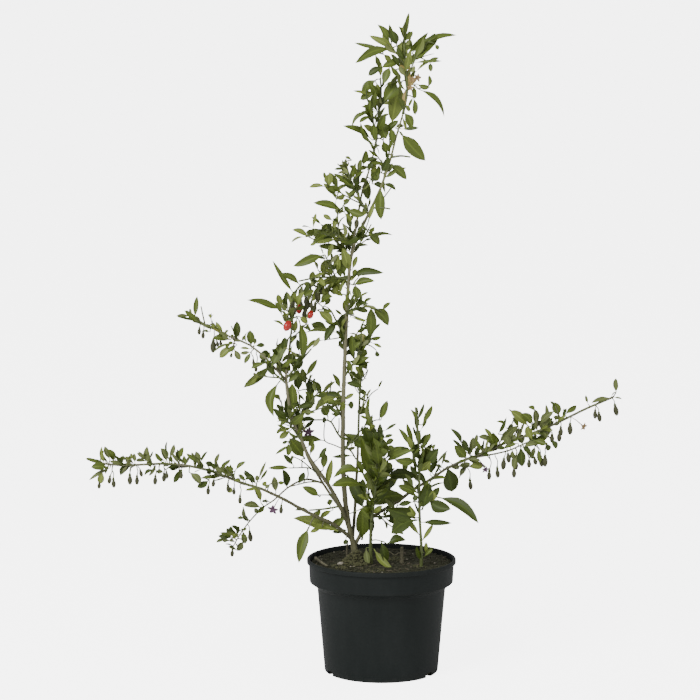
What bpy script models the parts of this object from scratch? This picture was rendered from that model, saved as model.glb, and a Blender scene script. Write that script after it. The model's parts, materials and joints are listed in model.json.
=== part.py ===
"""A potted goji berry bush: pot, soil, woody stems and boughs, and a solid for each mass of foliage.

Metres, +Z up. The origin is the middle of the pot's underside, +X is the side of the rising right-hand
bough, and -Y is the front. Every mass of foliage grows by one seeded rule from a twig of its own.
"""
import math
import random
from dataclasses import dataclass, field

import bmesh
import bpy
from mathutils import Matrix, Vector
from mathutils.bvhtree import BVHTree

MM = 0.001
UP = Vector((0.0, 0.0, 1.0))
GAP = 0.3 * MM  # clear space between neighbouring solids

# Pot
RIM_RADIUS = 95.0 * MM
POT_HEIGHT = 146.0 * MM
LIP_DROP = 7.0 * MM
LIP_OVERHANG = 2.6 * MM
BAND_HEIGHT = 22.0 * MM
BAND_DRAFT = 1.0 * MM
SHOULDER_DROP = 8.0 * MM
BODY_TOP_RADIUS = 81.7 * MM
BODY_FOOT_RADIUS = 72.6 * MM
FOOT_ROUND = 2.5 * MM
WALL = 1.6 * MM
FLOOR = 2.0 * MM
POT_STEPS = 36
NOTCH_ANGLES = (86.0, 206.0, 326.0)  # degrees round from +X; the front is at 270
NOTCH_WIDTH = 13.0 * MM
NOTCH_HEIGHT = 6.0 * MM
NOTCH_DEPTH = 9.0 * MM
DRAIN_COUNT = 6
DRAIN_RADIUS = 4.0 * MM
DRAIN_CIRCLE = 44.0 * MM
DRAIN_SIDES = 10

# Soil
SOIL_TOP = 141.0 * MM
SOIL_GAP = 0.3 * MM
GROUND = SOIL_TOP + GAP  # height of the flat cut under each stem

# Stems and twigs
STEM_STEP = 24.0 * MM
ROOT_FLARE = 4.2 * MM
FLARE_RUN = 9.0 * MM
ROOT_LOBES = 5
LOBE_LENGTH = 15.0 * MM
LOBE_RADIUS = 3.4 * MM
TWIG_STEP = 22.0 * MM
TWIG_SIDES = 3
TWIG_END = 0.45 * MM
SHOOT_RADIUS = 0.8 * MM

# Leaves and fruit
LEAF_THICKNESS = 0.35 * MM
LEAF_THICKNESS_SHARE = 0.013
LONG_LEAF = 42.0 * MM
LONG_LEAF_BEND = 0.10
LEAF_CLEARANCE = 0.45 * MM
LEAF_ROLL = math.radians(65.0)  # most that a leaf is turned about its own length
STALK_RADIUS = 0.42 * MM
STALK_LENGTH = 3.0 * MM
FRUIT_SIDES = 3
FRUIT_SLIM = 0.4
FRUIT_LENGTH = (9.0 * MM, 12.0 * MM)
FRUIT_DROP = (14.0 * MM, 19.0 * MM)
RIPE_FRUIT = 18.0 * MM
GREEN_FRUIT = 14.0 * MM
GOLDEN_ANGLE = math.radians(137.5)


@dataclass
class Limb:
    """One tapering limb through its points, in millimetres, from its foot to its tip."""

    name: str
    parent: str
    foot_radius: float
    tip_radius: float
    points: tuple
    sides: int = 6


@dataclass
class Habit:
    """How a twig branches and bears leaves, in millimetres and degrees."""

    spacing: float
    cluster: int
    leaf: tuple
    slim: float
    spread: tuple
    lift: float
    shoot: tuple
    branch: float
    bow: float
    fruit: float = 0.0


@dataclass
class Mass:
    """One mass of foliage on its own twig, which leaves its parent limb at a share of its length."""

    name: str
    parent: str
    habit: Habit
    seed: int
    reach: float
    shoots: int
    at: float = 1.0
    points: tuple = ()
    heading: float = 0.0
    rise: float = 0.0
    length: float = 0.0
    bend: float = 0.0
    radius: float = 1.1
    long_leaves: tuple = ()
    berries: tuple = ()


@dataclass
class Leaf:
    """One leaf: its twig's number, its root and tip, its width, its bend and its turn about its own length."""

    twig: int
    root: Vector
    tip: Vector
    width: float
    bend: float = 0.05
    roll: float = 0.0


@dataclass
class Fruit:
    """One hanging fruit: its twig's number, where its stalk leaves the twig, its lowest point and its length."""

    twig: int
    root: Vector
    bottom: Vector
    length: float


@dataclass
class Growth:
    """What the rule lays out for one mass; a twig is its path and its radius at its foot."""

    twigs: list = field(default_factory=list)
    leaves: list = field(default_factory=list)
    fruits: list = field(default_factory=list)


LIMBS = (
    Limb("main_stem", "", 3.4, 1.3, (
        (-31, -8, 130), (-34, -6, 155), (-39, -3, 178), (-44, -1, 202), (-48, 1, 247), (-49, 3, 298),
        (-48, 5, 361), (-45, 5, 438), (-40, 2, 521), (-31, 1, 556), (-17, 0, 585), (-1, -2, 620),
        (10, -4, 653), (17, -6, 680), (26, -8, 711)), 8),
    Limb("upper_stem", "main_stem", 1.5, 1.0, (
        (-39, 2, 530), (-32, 12, 571), (-24, 18, 614), (-16, 20, 639), (-10, 20, 662))),
    Limb("left_stem", "main_stem", 2.5, 1.4, (
        (-43, -2, 193), (-51, -8, 212), (-65, -13, 239), (-78, -17, 259), (-92, -21, 280),
        (-102, -25, 305), (-112, -27, 328), (-117, -29, 353), (-120, -30, 382), (-116, -30, 415))),
    Limb("back_left_stem", "main_stem", 1.7, 1.1, (
        (-38, -3, 170), (-49, 8, 202), (-66, 17, 226), (-82, 25, 250), (-94, 31, 270), (-101, 34, 292))),
    Limb("low_left_bough", "main_stem", 2.3, 1.5, (
        (-38, -4, 172), (-60, -16, 192), (-82, -24, 204), (-103, -30, 216), (-124, -36, 229),
        (-151, -42, 243))),
    Limb("drooping_bough", "back_left_stem", 1.2, 0.8, (
        (-75, 21, 239), (-96, 30, 242), (-117, 36, 232), (-138, 40, 213))),
    Limb("upper_left_bough", "left_stem", 1.4, 1.0, (
        (-119, -30, 378), (-134, -27, 394), (-150, -22, 410), (-166, -18, 422))),
    Limb("right_bough", "main_stem", 2.3, 1.5, (
        (-35, -5, 161), (-22, 6, 183), (-7, 14, 199), (20, 22, 214), (41, 28, 229), (61, 34, 240),
        (83, 40, 254))),
    Limb("centre_shoot", "", 2.2, 1.7, (
        (-12, -18, 130), (-14, -21, 165), (-13, -28, 198))),
    Limb("front_shoot", "", 1.9, 1.4, (
        (50, -31, 130), (50, -32, 168), (48, -33, 201))),
    Limb("back_bough", "main_stem", 2.0, 1.2, (
        (-37, -3, 168), (-34, 24, 200), (-32, 58, 232), (-30, 92, 262), (-29, 118, 292))),
)

VIGOROUS = Habit(spacing=25.0, cluster=2, leaf=(22.0, 42.0), slim=0.26, spread=(38.0, 70.0), lift=0.25,
                 shoot=(26.0, 46.0), branch=42.0, bow=0.35)
FRUITING = Habit(spacing=19.0, cluster=2, leaf=(12.0, 21.0), slim=0.36, spread=(40.0, 80.0), lift=0.5,
                 shoot=(18.0, 34.0), branch=38.0, bow=0.25, fruit=0.4)
TUFTED = Habit(spacing=24.0, cluster=2, leaf=(19.0, 34.0), slim=0.32, spread=(35.0, 75.0), lift=0.2,
               shoot=(20.0, 36.0), branch=48.0, bow=0.2)

MASSES = (
    Mass("crown_top_foliage", "main_stem", VIGOROUS, 11, 62, 5, points=(
        (26, -8, 711), (31, -11, 739), (30, -12, 763), (28, -12, 784), (28, -12, 803)), radius=1.3,
        long_leaves=((1.0, (33, -13, 837), 5), (0.75, (92, -22, 809), 13), (0.45, (77, -24, 706), 8),
                     (0.8, (-34, -20, 800), 8), (0.7, (-36, -30, 775), 10), (0.2, (16, -34, 700), 17))),
    Mass("crown_left_foliage", "upper_stem", VIGOROUS, 12, 46, 4, points=(
        (-10, 20, 662), (-6, 20, 682), (-4, 19, 707), (-1, 17, 732), (-2, 16, 755)),
        long_leaves=((0.9, (-28, 10, 730), 11), (0.4, (-40, 22, 697), 7))),
    Mass("crown_right_foliage", "main_stem", TUFTED, 13, 44, 2, at=0.905, heading=-20, rise=10, length=26,
         bend=-30, long_leaves=((0.5, (54, -14, 655), 15),)),
    Mass("crown_back_foliage", "main_stem", TUFTED, 14, 46, 2, at=0.86, heading=75, rise=50, length=46),
    Mass("high_right_foliage", "main_stem", TUFTED, 15, 44, 2, at=0.79, heading=-25, rise=5, length=26,
         bend=-20, long_leaves=((0.6, (-1, -10, 578), 11),)),
    Mass("high_left_foliage", "main_stem", TUFTED, 16, 46, 4, at=0.775, heading=187, rise=62, length=74,
         bend=10, long_leaves=((0.4, (-82, -4, 594), 8),)),
    Mass("upper_left_foliage", "main_stem", TUFTED, 17, 44, 3, at=0.70, heading=200, rise=35, length=52,
         bend=-5, long_leaves=((0.6, (-112, -16, 560), 7), (0.5, (-109, -20, 518), 9))),
    Mass("upper_back_foliage", "main_stem", TUFTED, 18, 46, 3, at=0.66, heading=80, rise=45, length=54),
    Mass("upper_right_foliage", "main_stem", TUFTED, 19, 42, 2, at=0.715, heading=-12, rise=20, length=28),
    Mass("berry_foliage", "main_stem", TUFTED, 20, 60, 3, at=0.63, heading=197, rise=8, length=66, bend=-25,
         long_leaves=((1.0, (-137, -34, 528), 5), (1.0, (-128, -22, 512), 6)),
         berries=((-103, -27, 471, 1), (-87, -25, 463, 1), (-97, -21, 478, 0), (-91, -19, 473, 0),
                  (-108, -24, 478, 0), (-81, -20, 479, 0), (-85, -16, 470, 0), (-75, -14, 480, 0),
                  (-99, -32, 485, 0), (-70, -18, 487, 0))),
    Mass("left_stem_top_foliage", "left_stem", TUFTED, 21, 52, 3, points=(
        (-116, -30, 415), (-114, -31, 436), (-112, -32, 455), (-115, -34, 472)),
        long_leaves=((0.85, (-168, -38, 477), 9), (0.6, (-100, -44, 411), 10)),
        berries=((-119, -42, 448, 1),)),
    Mass("upper_left_bough_foliage", "upper_left_bough", FRUITING, 22, 27, 3, points=(
        (-166, -18, 422), (-181, -12, 428), (-201, -4, 435), (-222, 3, 445), (-236, 8, 453),
        (-245, 12, 456)), radius=1.0, long_leaves=((1.0, (-257, 14, 458), 4),)),
    Mass("mid_left_outer_foliage", "left_stem", TUFTED, 23, 56, 4, at=0.83, heading=172, rise=40, length=34,
         long_leaves=((0.3, (-174, -30, 367), 10), (0.1, (-138, -34, 334), 9))),
    Mass("mid_left_upper_foliage", "left_stem", TUFTED, 24, 44, 3, at=0.86, heading=-12, rise=50, length=50),
    Mass("mid_left_inner_foliage", "left_stem", TUFTED, 25, 44, 3, at=0.62, heading=-10, rise=52, length=54),
    Mass("mid_left_low_foliage", "left_stem", TUFTED, 26, 42, 2, at=0.5, heading=205, rise=55, length=40),
    Mass("back_left_foliage", "back_left_stem", TUFTED, 27, 46, 4, points=(
        (-101, 34, 292), (-103, 38, 318), (-96, 42, 343), (-89, 46, 366))),
    Mass("low_left_foliage", "low_left_bough", FRUITING, 28, 30, 4, points=(
        (-151, -42, 243), (-179, -48, 253), (-206, -53, 265), (-240, -59, 275), (-277, -65, 279),
        (-320, -71, 278), (-353, -76, 282)), radius=1.4, long_leaves=((1.0, (-373, -80, 285), 3),)),
    Mass("drooping_foliage", "drooping_bough", FRUITING, 29, 28, 2, points=(
        (-138, 40, 213), (-153, 42, 202), (-169, 44, 185), (-182, 44, 167), (-191, 44, 151)), radius=0.8),
    Mass("right_foliage", "right_bough", FRUITING, 30, 34, 5, points=(
        (83, 40, 254), (108, 44, 265), (130, 48, 272), (156, 52, 284), (192, 57, 296), (229, 63, 311),
        (263, 68, 327), (300, 74, 342)), radius=1.5, long_leaves=((1.0, (308, 75, 371), 5),)),
    Mass("centre_foliage", "centre_shoot", VIGOROUS, 31, 56, 5, points=(
        (-13, -28, 198), (-10, -36, 228), (-7, -46, 268), (-10, -56, 307), (-13, -62, 334)), radius=1.6,
        long_leaves=((0.12, (31, -68, 242), 18), (0.5, (-45, -60, 262), 13), (0.55, (40, -60, 275), 12))),
    Mass("front_foliage", "front_shoot", VIGOROUS, 32, 54, 4, points=(
        (48, -33, 201), (47, -36, 234), (47, -39, 273), (45, -42, 314), (42, -44, 347)), radius=1.3,
        long_leaves=((0.3, (120, -60, 208), 12), (0.25, (86, -62, 213), 11))),
    Mass("base_left_foliage", "left_stem", TUFTED, 33, 60, 2, at=0.1, heading=190, rise=-8, length=40,
         bend=10, long_leaves=((0.9, (-105, -30, 150), 13), (0.4, (-106, -28, 215), 8))),
    Mass("stem_right_foliage", "main_stem", TUFTED, 34, 42, 2, at=0.26, heading=-20, rise=50, length=42),
    Mass("stem_left_foliage", "main_stem", TUFTED, 35, 40, 2, at=0.33, heading=160, rise=58, length=44),
    Mass("middle_right_foliage", "main_stem", TUFTED, 36, 44, 3, at=0.42, heading=8, rise=55, length=60),
    Mass("middle_left_foliage", "main_stem", TUFTED, 37, 38, 2, at=0.5, heading=215, rise=60, length=44),
    Mass("middle_back_foliage", "main_stem", TUFTED, 38, 46, 2, at=0.46, heading=95, rise=45, length=52),
    Mass("middle_front_foliage", "main_stem", TUFTED, 39, 42, 2, at=0.55, heading=285, rise=45, length=42),
    Mass("back_foliage", "back_bough", VIGOROUS, 40, 48, 4, points=(
        (-29, 118, 292), (-28, 132, 318), (-27, 142, 345), (-27, 148, 370)), radius=1.2),
    Mass("base_right_foliage", "right_bough", TUFTED, 41, 50, 2, at=0.3, heading=-30, rise=5, length=34),
)


def material(name, colour, roughness):
    """A plain finish for one part."""
    made = bpy.data.materials.new(name)
    made.use_nodes = True
    shader = made.node_tree.nodes["Principled BSDF"]
    shader.inputs["Base Color"].default_value = (*colour, 1.0)
    shader.inputs["Roughness"].default_value = roughness
    shader.inputs["Metallic"].default_value = 0.0
    return made


def collection(name):
    made = bpy.data.collections.new(name)
    bpy.context.scene.collection.children.link(made)
    return made


def add_object(name, mesh, home, finish=None):
    made = bpy.data.objects.new(name, mesh)
    home.objects.link(made)
    if finish:
        made.data.materials.clear()
        made.data.materials.append(finish)
    return made


def mesh_of(bm, name):
    """Turns a bmesh into a mesh with its faces pointing out."""
    bmesh.ops.recalc_face_normals(bm, faces=bm.faces[:])
    if bm.calc_volume(signed=True) < 0.0:
        bmesh.ops.reverse_faces(bm, faces=bm.faces[:])
    mesh = bpy.data.meshes.new(name)
    bm.to_mesh(mesh)
    bm.free()
    return mesh


def discard(objects):
    """Removes helper objects with their meshes or curves."""
    for used in objects:
        data = used.data
        kind = bpy.data.curves if used.type == "CURVE" else bpy.data.meshes
        bpy.data.objects.remove(used)
        kind.remove(data)


def smooth_path(points, step):
    """Points about a step apart on a smooth curve through the given ones."""
    knots = [Vector(p) for p in points]
    ends = [knots[0] * 2 - knots[1], *knots, knots[-1] * 2 - knots[-2]]
    path = [knots[0]]
    for before, start, end, after in zip(ends, ends[1:], ends[2:], ends[3:]):
        count = max(1, round((end - start).length / step))
        for i in range(1, count + 1):
            t = i / count
            path.append(0.5 * (2 * start + (end - before) * t
                               + (2 * before - 5 * start + 4 * end - after) * t ** 2
                               + (3 * start - before - 3 * end + after) * t ** 3))
    return path


def path_length(path):
    return sum((b - a).length for a, b in zip(path, path[1:]))


def along_path(path, share):
    """The point at a share of a path's length, and the direction there."""
    left = share * path_length(path)
    for a, b in zip(path, path[1:]):
        run = (b - a).length
        if left <= run:
            return a + (b - a) * (left / run), (b - a).normalized()
        left -= run
    return path[-1].copy(), (path[-1] - path[-2]).normalized()


def bowed_path(start, heading, length, bow, step):
    """A path that sets off along a heading and turns up as it goes, or down where bow is negative."""
    count = max(2, round(length / step))
    path = [start]
    for i in range(count):
        way = (heading + UP * bow * (i / count)).normalized()
        path.append(path[-1] + way * (length / count))
    return path


def compass(heading, rise):
    """A direction from its degrees round from +X and its degrees above the level."""
    level = math.cos(math.radians(rise))
    turn = math.radians(heading)
    return Vector((level * math.cos(turn), level * math.sin(turn), math.sin(math.radians(rise))))


def splay(along, turn, angle, lift):
    """A direction that stands off a twig by an angle, at a turn round it, lifted towards the light."""
    across = along.cross(UP)
    if across.length < 0.2:
        across = along.cross(Vector((0.0, 1.0, 0.0)))
    across.normalize()
    over = across.cross(along)
    out = across * math.cos(turn) + over * math.sin(turn)
    return (along * math.cos(angle) + out * math.sin(angle) + UP * lift).normalized()


def limb_path(limb):
    return smooth_path([Vector(p) * MM for p in limb.points], STEM_STEP)


def limb_radius(limb, share, above):
    """Radius of a limb at a share of its length, with the root flare of one that stands in the soil."""
    radius = (limb.foot_radius + (limb.tip_radius - limb.foot_radius) * share) * MM
    if limb.name == "main_stem":
        radius += ROOT_FLARE * math.exp(-max(above, 0.0) / FLARE_RUN)
    return radius


LIMB_PATHS = {limb.name: limb_path(limb) for limb in LIMBS}


def mass_stem(mass):
    """The path of a mass's own twig, from its parent limb outwards."""
    if mass.points:
        points = [Vector(p) * MM for p in mass.points]
        points[0] += (points[1] - points[0]).normalized() * GAP
        return smooth_path(points, TWIG_STEP)
    start, _ = along_path(LIMB_PATHS[mass.parent], mass.at)
    heading = compass(mass.heading, mass.rise)
    return bowed_path(start, heading, mass.length * MM, math.radians(mass.bend), TWIG_STEP)


def leaf_root(start, rng):
    """A leaf's root is sunk in its twig, each a little apart from the next."""
    return start + Vector([rng.uniform(-0.15, 0.15) * MM for _ in range(3)])


def grow_shoots(mass, growth, rng, turn):
    """Side shoots along the mass's own twig, each a golden angle further round it than the last."""
    habit = mass.habit
    stem = growth.twigs[0][0]
    for i in range(mass.shoots):
        share = 0.1 + 0.8 * (i + rng.uniform(0.25, 0.75)) / mass.shoots
        start, along = along_path(stem, share)
        turn += GOLDEN_ANGLE
        heading = splay(along, turn, math.radians(habit.branch), habit.lift)
        length = rng.uniform(*habit.shoot) * (1.15 - 0.4 * share) * MM
        growth.twigs.append((bowed_path(start, heading, length, habit.bow, TWIG_STEP), SHOOT_RADIUS))
    return turn


def grow_node(habit, growth, rng, number, path, share, turn):
    """The cluster of leaves at one node of a twig, and now and then a fruit that hangs from it."""
    start, along = along_path(path, share)
    for place in range(habit.cluster):
        turn += GOLDEN_ANGLE
        size = rng.uniform(*habit.leaf) * (1.0 - 0.35 * share) * (1.0 - 0.22 * place) * MM
        way = splay(along, turn, math.radians(rng.uniform(*habit.spread)), habit.lift)
        root = leaf_root(start, rng)
        width = size * habit.slim * rng.uniform(0.85, 1.15)
        bend = rng.uniform(-0.02, 0.10)
        growth.leaves.append(Leaf(number, root, root + way * size, width, bend, rng.uniform(-LEAF_ROLL, LEAF_ROLL)))
    if rng.random() < habit.fruit:
        side = Vector((rng.uniform(-0.35, 0.35), rng.uniform(-0.35, 0.35), -1.0)).normalized()
        bottom = start + side * rng.uniform(*FRUIT_DROP)
        growth.fruits.append(Fruit(number, start, bottom, rng.uniform(*FRUIT_LENGTH)))
    return turn


def grow(mass):
    """Lays out the twigs, leaves and fruit of one mass by its seeded rule."""
    rng = random.Random(mass.seed)
    habit = mass.habit
    stem = mass_stem(mass)
    growth = Growth(twigs=[(stem, mass.radius * MM)])
    turn = grow_shoots(mass, growth, rng, rng.uniform(0.0, math.tau))
    for number, (path, _) in enumerate(growth.twigs):
        count = max(1, round(path_length(path) / (habit.spacing * MM)))
        for k in range(count):
            share = (k + rng.uniform(0.45, 0.95)) / count
            turn = grow_node(habit, growth, rng, number, path, share, turn)
        start, along = along_path(path, 1.0)
        way = (along + UP * habit.lift * 0.5).normalized()
        size = habit.leaf[0] * 1.1 * MM
        growth.leaves.append(Leaf(number, leaf_root(start - along * MM, rng), start + way * size, size * habit.slim))
    for share, tip, width in mass.long_leaves:
        start, _ = along_path(stem, share)
        growth.leaves.append(Leaf(0, leaf_root(start, rng), Vector(tip) * MM, width * MM, LONG_LEAF_BEND))
    for x, y, z, ripe in mass.berries:
        bottom = Vector((x, y, z)) * MM
        near = min((along_path(stem, i / 20)[0] for i in range(6, 21)),
                   key=lambda p: (p.xy - bottom.xy).length - (p.z - bottom.z) * 0.3)
        growth.fruits.append(Fruit(0, near, bottom, RIPE_FRUIT if ripe else GREEN_FRUIT))
    return growth


def distance_to_path(point, path):
    return min((point - p).length for p in path)


class Guides:
    """Cross-sections for tubes: one round of points for each number of sides."""

    def __init__(self, home):
        self.home = home
        self.rings = {}

    def ring(self, sides):
        if sides not in self.rings:
            curve = bpy.data.curves.new(f"section_{sides}", "CURVE")
            spline = curve.splines.new("POLY")
            spline.points.add(sides - 1)
            for i, point in enumerate(spline.points):
                turn = math.tau * i / sides
                point.co = (math.cos(turn), math.sin(turn), 0.0, 1.0)
            spline.use_cyclic_u = True
            made = bpy.data.objects.new(curve.name, curve)
            self.home.objects.link(made)
            made.hide_render = True
            made.display_type = "WIRE"
            self.rings[sides] = made
        return self.rings[sides]


def tubes(specs, guides, home):
    """Closed tapering tubes: each spec is a path, a radius for each of its points and a number of sides."""
    curves = []
    for path, radii, sides in specs:
        curve = bpy.data.curves.new("tube", "CURVE")
        curve.dimensions = "3D"
        curve.bevel_mode = "OBJECT"
        curve.bevel_object = guides.ring(sides)
        curve.use_fill_caps = True
        spline = curve.splines.new("POLY")
        spline.points.add(len(path) - 1)
        for point, at, radius in zip(spline.points, path, radii):
            point.co = (*at, 1.0)
            point.radius = radius
        made = bpy.data.objects.new("tube", curve)
        home.objects.link(made)
        curves.append(made)
    bpy.context.view_layer.update()
    graph = bpy.context.evaluated_depsgraph_get()
    solids = []
    for made in curves:
        mesh = bpy.data.meshes.new_from_object(made.evaluated_get(graph))
        bm = bmesh.new()
        bm.from_mesh(mesh)
        bpy.data.meshes.remove(mesh)
        bmesh.ops.remove_doubles(bm, verts=bm.verts[:], dist=0.01 * MM)
        solid = bpy.data.objects.new("tube", mesh_of(bm, "tube"))
        solid.matrix_world = made.matrix_world.copy()
        home.objects.link(solid)
        solids.append(solid)
    discard(curves)
    return solids


def boolean(target, operation, other=None, group=None):
    """Applies a Boolean of one object, or of a whole collection, to the target."""
    change = target.modifiers.new("boolean", "BOOLEAN")
    change.operation = operation
    if group:
        change.operand_type = "COLLECTION"
        change.collection = group
        change.solver = "MANIFOLD"
    else:
        change.object = other
        change.solver = "EXACT"
    bpy.context.view_layer.update()
    graph = bpy.context.evaluated_depsgraph_get()
    mesh = bpy.data.meshes.new_from_object(target.evaluated_get(graph))
    target.modifiers.clear()
    old = target.data
    target.data = mesh
    bpy.data.meshes.remove(old)


def limb_spec(limb, extra=0.0):
    """Tube of one limb; extra widens it, for the space that its neighbours keep from it."""
    path = LIMB_PATHS[limb.name]
    if not limb.parent:
        foot = Vector(limb.points[0]) * MM
        low = [foot + (Vector(limb.points[1]) * MM - foot) * share for share in (0.0, 0.45, 0.6, 0.8)]
        path = low + [point for point in path if point.z > low[-1].z + MM]
    total = path_length(path)
    radii = []
    done = 0.0
    for i, point in enumerate(path):
        done += (point - path[i - 1]).length if i else 0.0
        radii.append(limb_radius(limb, done / total, point.z - GROUND) + extra)
    return path, radii, limb.sides


def root_lobes(home):
    """Cones that run out from the foot of the main stem, for its root flare."""
    foot = Vector(LIMBS[0].points[0]) * MM
    foot.z = GROUND
    lobes = []
    for i in range(ROOT_LOBES):
        turn = math.tau * (i + 0.3 * math.sin(i * 2.3)) / ROOT_LOBES
        way = Vector((math.cos(turn), math.sin(turn), -0.35)).normalized()
        bm = bmesh.new()
        bmesh.ops.create_cone(bm, cap_ends=True, segments=6, radius1=LOBE_RADIUS, radius2=0.8 * MM,
                              depth=LOBE_LENGTH, matrix=Matrix.Translation((0.0, 0.0, LOBE_LENGTH / 2)))
        bm.transform(Matrix.Translation(foot + UP * 3.0 * MM) @ way.to_track_quat("Z", "Y").to_matrix().to_4x4())
        lobes.append(add_object("root_lobe", mesh_of(bm, "root_lobe"), home))
    return lobes


def cut_level(target, height):
    """Flat cut: keeps what is above a height and closes it."""
    bm = bmesh.new()
    bm.from_mesh(target.data)
    bmesh.ops.bisect_plane(bm, geom=bm.verts[:] + bm.edges[:] + bm.faces[:], dist=0.001 * MM,
                           plane_co=(0.0, 0.0, height), plane_no=UP, clear_inner=True)
    bmesh.ops.holes_fill(bm, edges=[e for e in bm.edges if e.is_boundary], sides=0)
    old = target.data
    target.data = mesh_of(bm, old.name)
    bpy.data.meshes.remove(old)


def build_limbs(plant, work, guides, bark, green):
    """Stems and boughs, each cut clear of the limb that it grows from."""
    by_name = {limb.name: limb for limb in LIMBS}
    built = []
    for limb in LIMBS:
        (solid,) = tubes([limb_spec(limb)], guides, work)
        if limb.parent:
            (space,) = tubes([limb_spec(by_name[limb.parent], GAP)], guides, work)
            boolean(solid, "DIFFERENCE", space)
            keep_largest(solid)
            discard([space])
        else:
            if limb.name == "main_stem":
                for lobe in root_lobes(work):
                    boolean(solid, "UNION", lobe)
                    discard([lobe])
            cut_level(solid, GROUND)
        work.objects.unlink(solid)
        plant.objects.link(solid)
        solid.name = limb.name
        solid.data.materials.clear()
        solid.data.materials.append(green if limb.name.endswith("shoot") else bark)
        built.append(solid)
    return built


def shells(bm):
    """Groups of faces that hang together."""
    left = set(bm.faces)
    groups = []
    while left:
        stack = [left.pop()]
        group = set(stack)
        while stack:
            for edge in stack.pop().edges:
                for near in edge.link_faces:
                    if near in left:
                        left.remove(near)
                        group.add(near)
                        stack.append(near)
        groups.append(group)
    return groups


def keep_largest(target):
    """Drops loose scraps and fills sealed hollows, which leaves the largest shell."""
    bm = bmesh.new()
    bm.from_mesh(target.data)
    groups = sorted(shells(bm), key=lambda group: -len(group))
    for group in groups[1:]:
        bmesh.ops.delete(bm, geom=list(group), context="FACES")
    bm.to_mesh(target.data)
    bm.free()


def leaf_frame(leaf):
    """Directions of a leaf: along it, across it and off its upper side."""
    along = (leaf.tip - leaf.root).normalized()
    side = along.cross(UP)
    if side.length < 0.25:
        side = along.cross(Vector((0.0, -1.0, 0.15)))
    side = Matrix.Rotation(leaf.roll, 3, along) @ side.normalized()
    return along, side, side.cross(along)


def leaf_solid(bm, leaf, extra=0.0):
    """A leaf of three-cornered section with a keel under its midrib; a long one bends in its middle."""
    root = leaf.root
    length = (leaf.tip - root).length + extra
    rings = 3 if length > LONG_LEAF else 2
    thick = max(LEAF_THICKNESS, length * LEAF_THICKNESS_SHARE) + extra * 2
    along, side, over = leaf_frame(leaf)
    made = bmesh.ops.create_uvsphere(bm, u_segments=3, v_segments=rings, radius=1.0)["verts"]
    outline = {2: {0: (0.45, 1.0)}, 3: {-1: (0.3, 0.9), 1: (0.62, 0.84)}}[rings]
    for vert in made:
        if abs(vert.co.z) > 0.95:
            share = 0.0 if vert.co.z < 0 else 1.0
            vert.co = root + along * length * share - over * extra * 0.5
            continue
        share, broad = outline[(vert.co.z > 0.1) - (vert.co.z < -0.1)]
        across = round(vert.co.x, 3)
        arch = leaf.bend * length * math.sin(math.pi * share)
        place = root + along * length * share + over * arch
        if abs(across) > 0.1:
            vert.co = place + side * math.copysign((leaf.width / 2) * broad + extra, across) + over * thick * 0.5
        else:
            vert.co = place - over * thick * 0.5


def fruit_spec(fruit, extra=0.0):
    """Tube of a hanging fruit: a thin stalk from its root in the twig that swells to a long drop."""
    top = fruit.bottom + UP * fruit.length
    top.z = min(top.z, fruit.root.z - STALK_LENGTH)
    belly = fruit.length * FRUIT_SLIM / 2
    path = [fruit.root, top, top - UP * fruit.length * 0.5, top - UP * fruit.length]
    return path, [radius + extra for radius in (STALK_RADIUS, STALK_RADIUS, belly, TWIG_END)], FRUIT_SIDES


class Neighbours:
    """The finished solids, and the test whether a new piece stays clear of them."""

    def __init__(self):
        self.trees = []

    def add(self, mesh):
        bm = bmesh.new()
        bm.from_mesh(mesh)
        low = Vector([min(v.co[i] for v in bm.verts) for i in range(3)])
        high = Vector([max(v.co[i] for v in bm.verts) for i in range(3)])
        self.trees.append((low, high, BVHTree.FromBMesh(bm)))
        bm.free()

    def clear(self, bm):
        low = [min(v.co[i] for v in bm.verts) for i in range(3)]
        high = [max(v.co[i] for v in bm.verts) for i in range(3)]
        tree = None
        for tree_low, tree_high, other in self.trees:
            if any(low[i] > tree_high[i] or high[i] < tree_low[i] for i in range(3)):
                continue
            tree = tree or BVHTree.FromBMesh(bm)
            if tree.overlap(other):
                return False
        return True


def twig_spec(path, foot, extra=0.0):
    """Tube of a twig that tapers from its foot to its end."""
    last = len(path) - 1
    return path, [foot + (TWIG_END - foot) * i / last + extra for i in range(len(path))], TWIG_SIDES


def leaf_is_clear(neighbours, leaf):
    """Whether a leaf, made a little larger than it is, touches none of its neighbours."""
    bm = bmesh.new()
    leaf_solid(bm, leaf, LEAF_CLEARANCE)
    result = neighbours.clear(bm)
    bm.free()
    return result


def tube_is_clear(neighbours, guides, work, spec):
    """Whether a twig or fruit, made a little larger than it is, touches none of its neighbours."""
    (solid,) = tubes([spec], guides, work)
    bm = bmesh.new()
    bm.from_mesh(solid.data)
    result = neighbours.clear(bm)
    bm.free()
    discard([solid])
    return result


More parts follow.
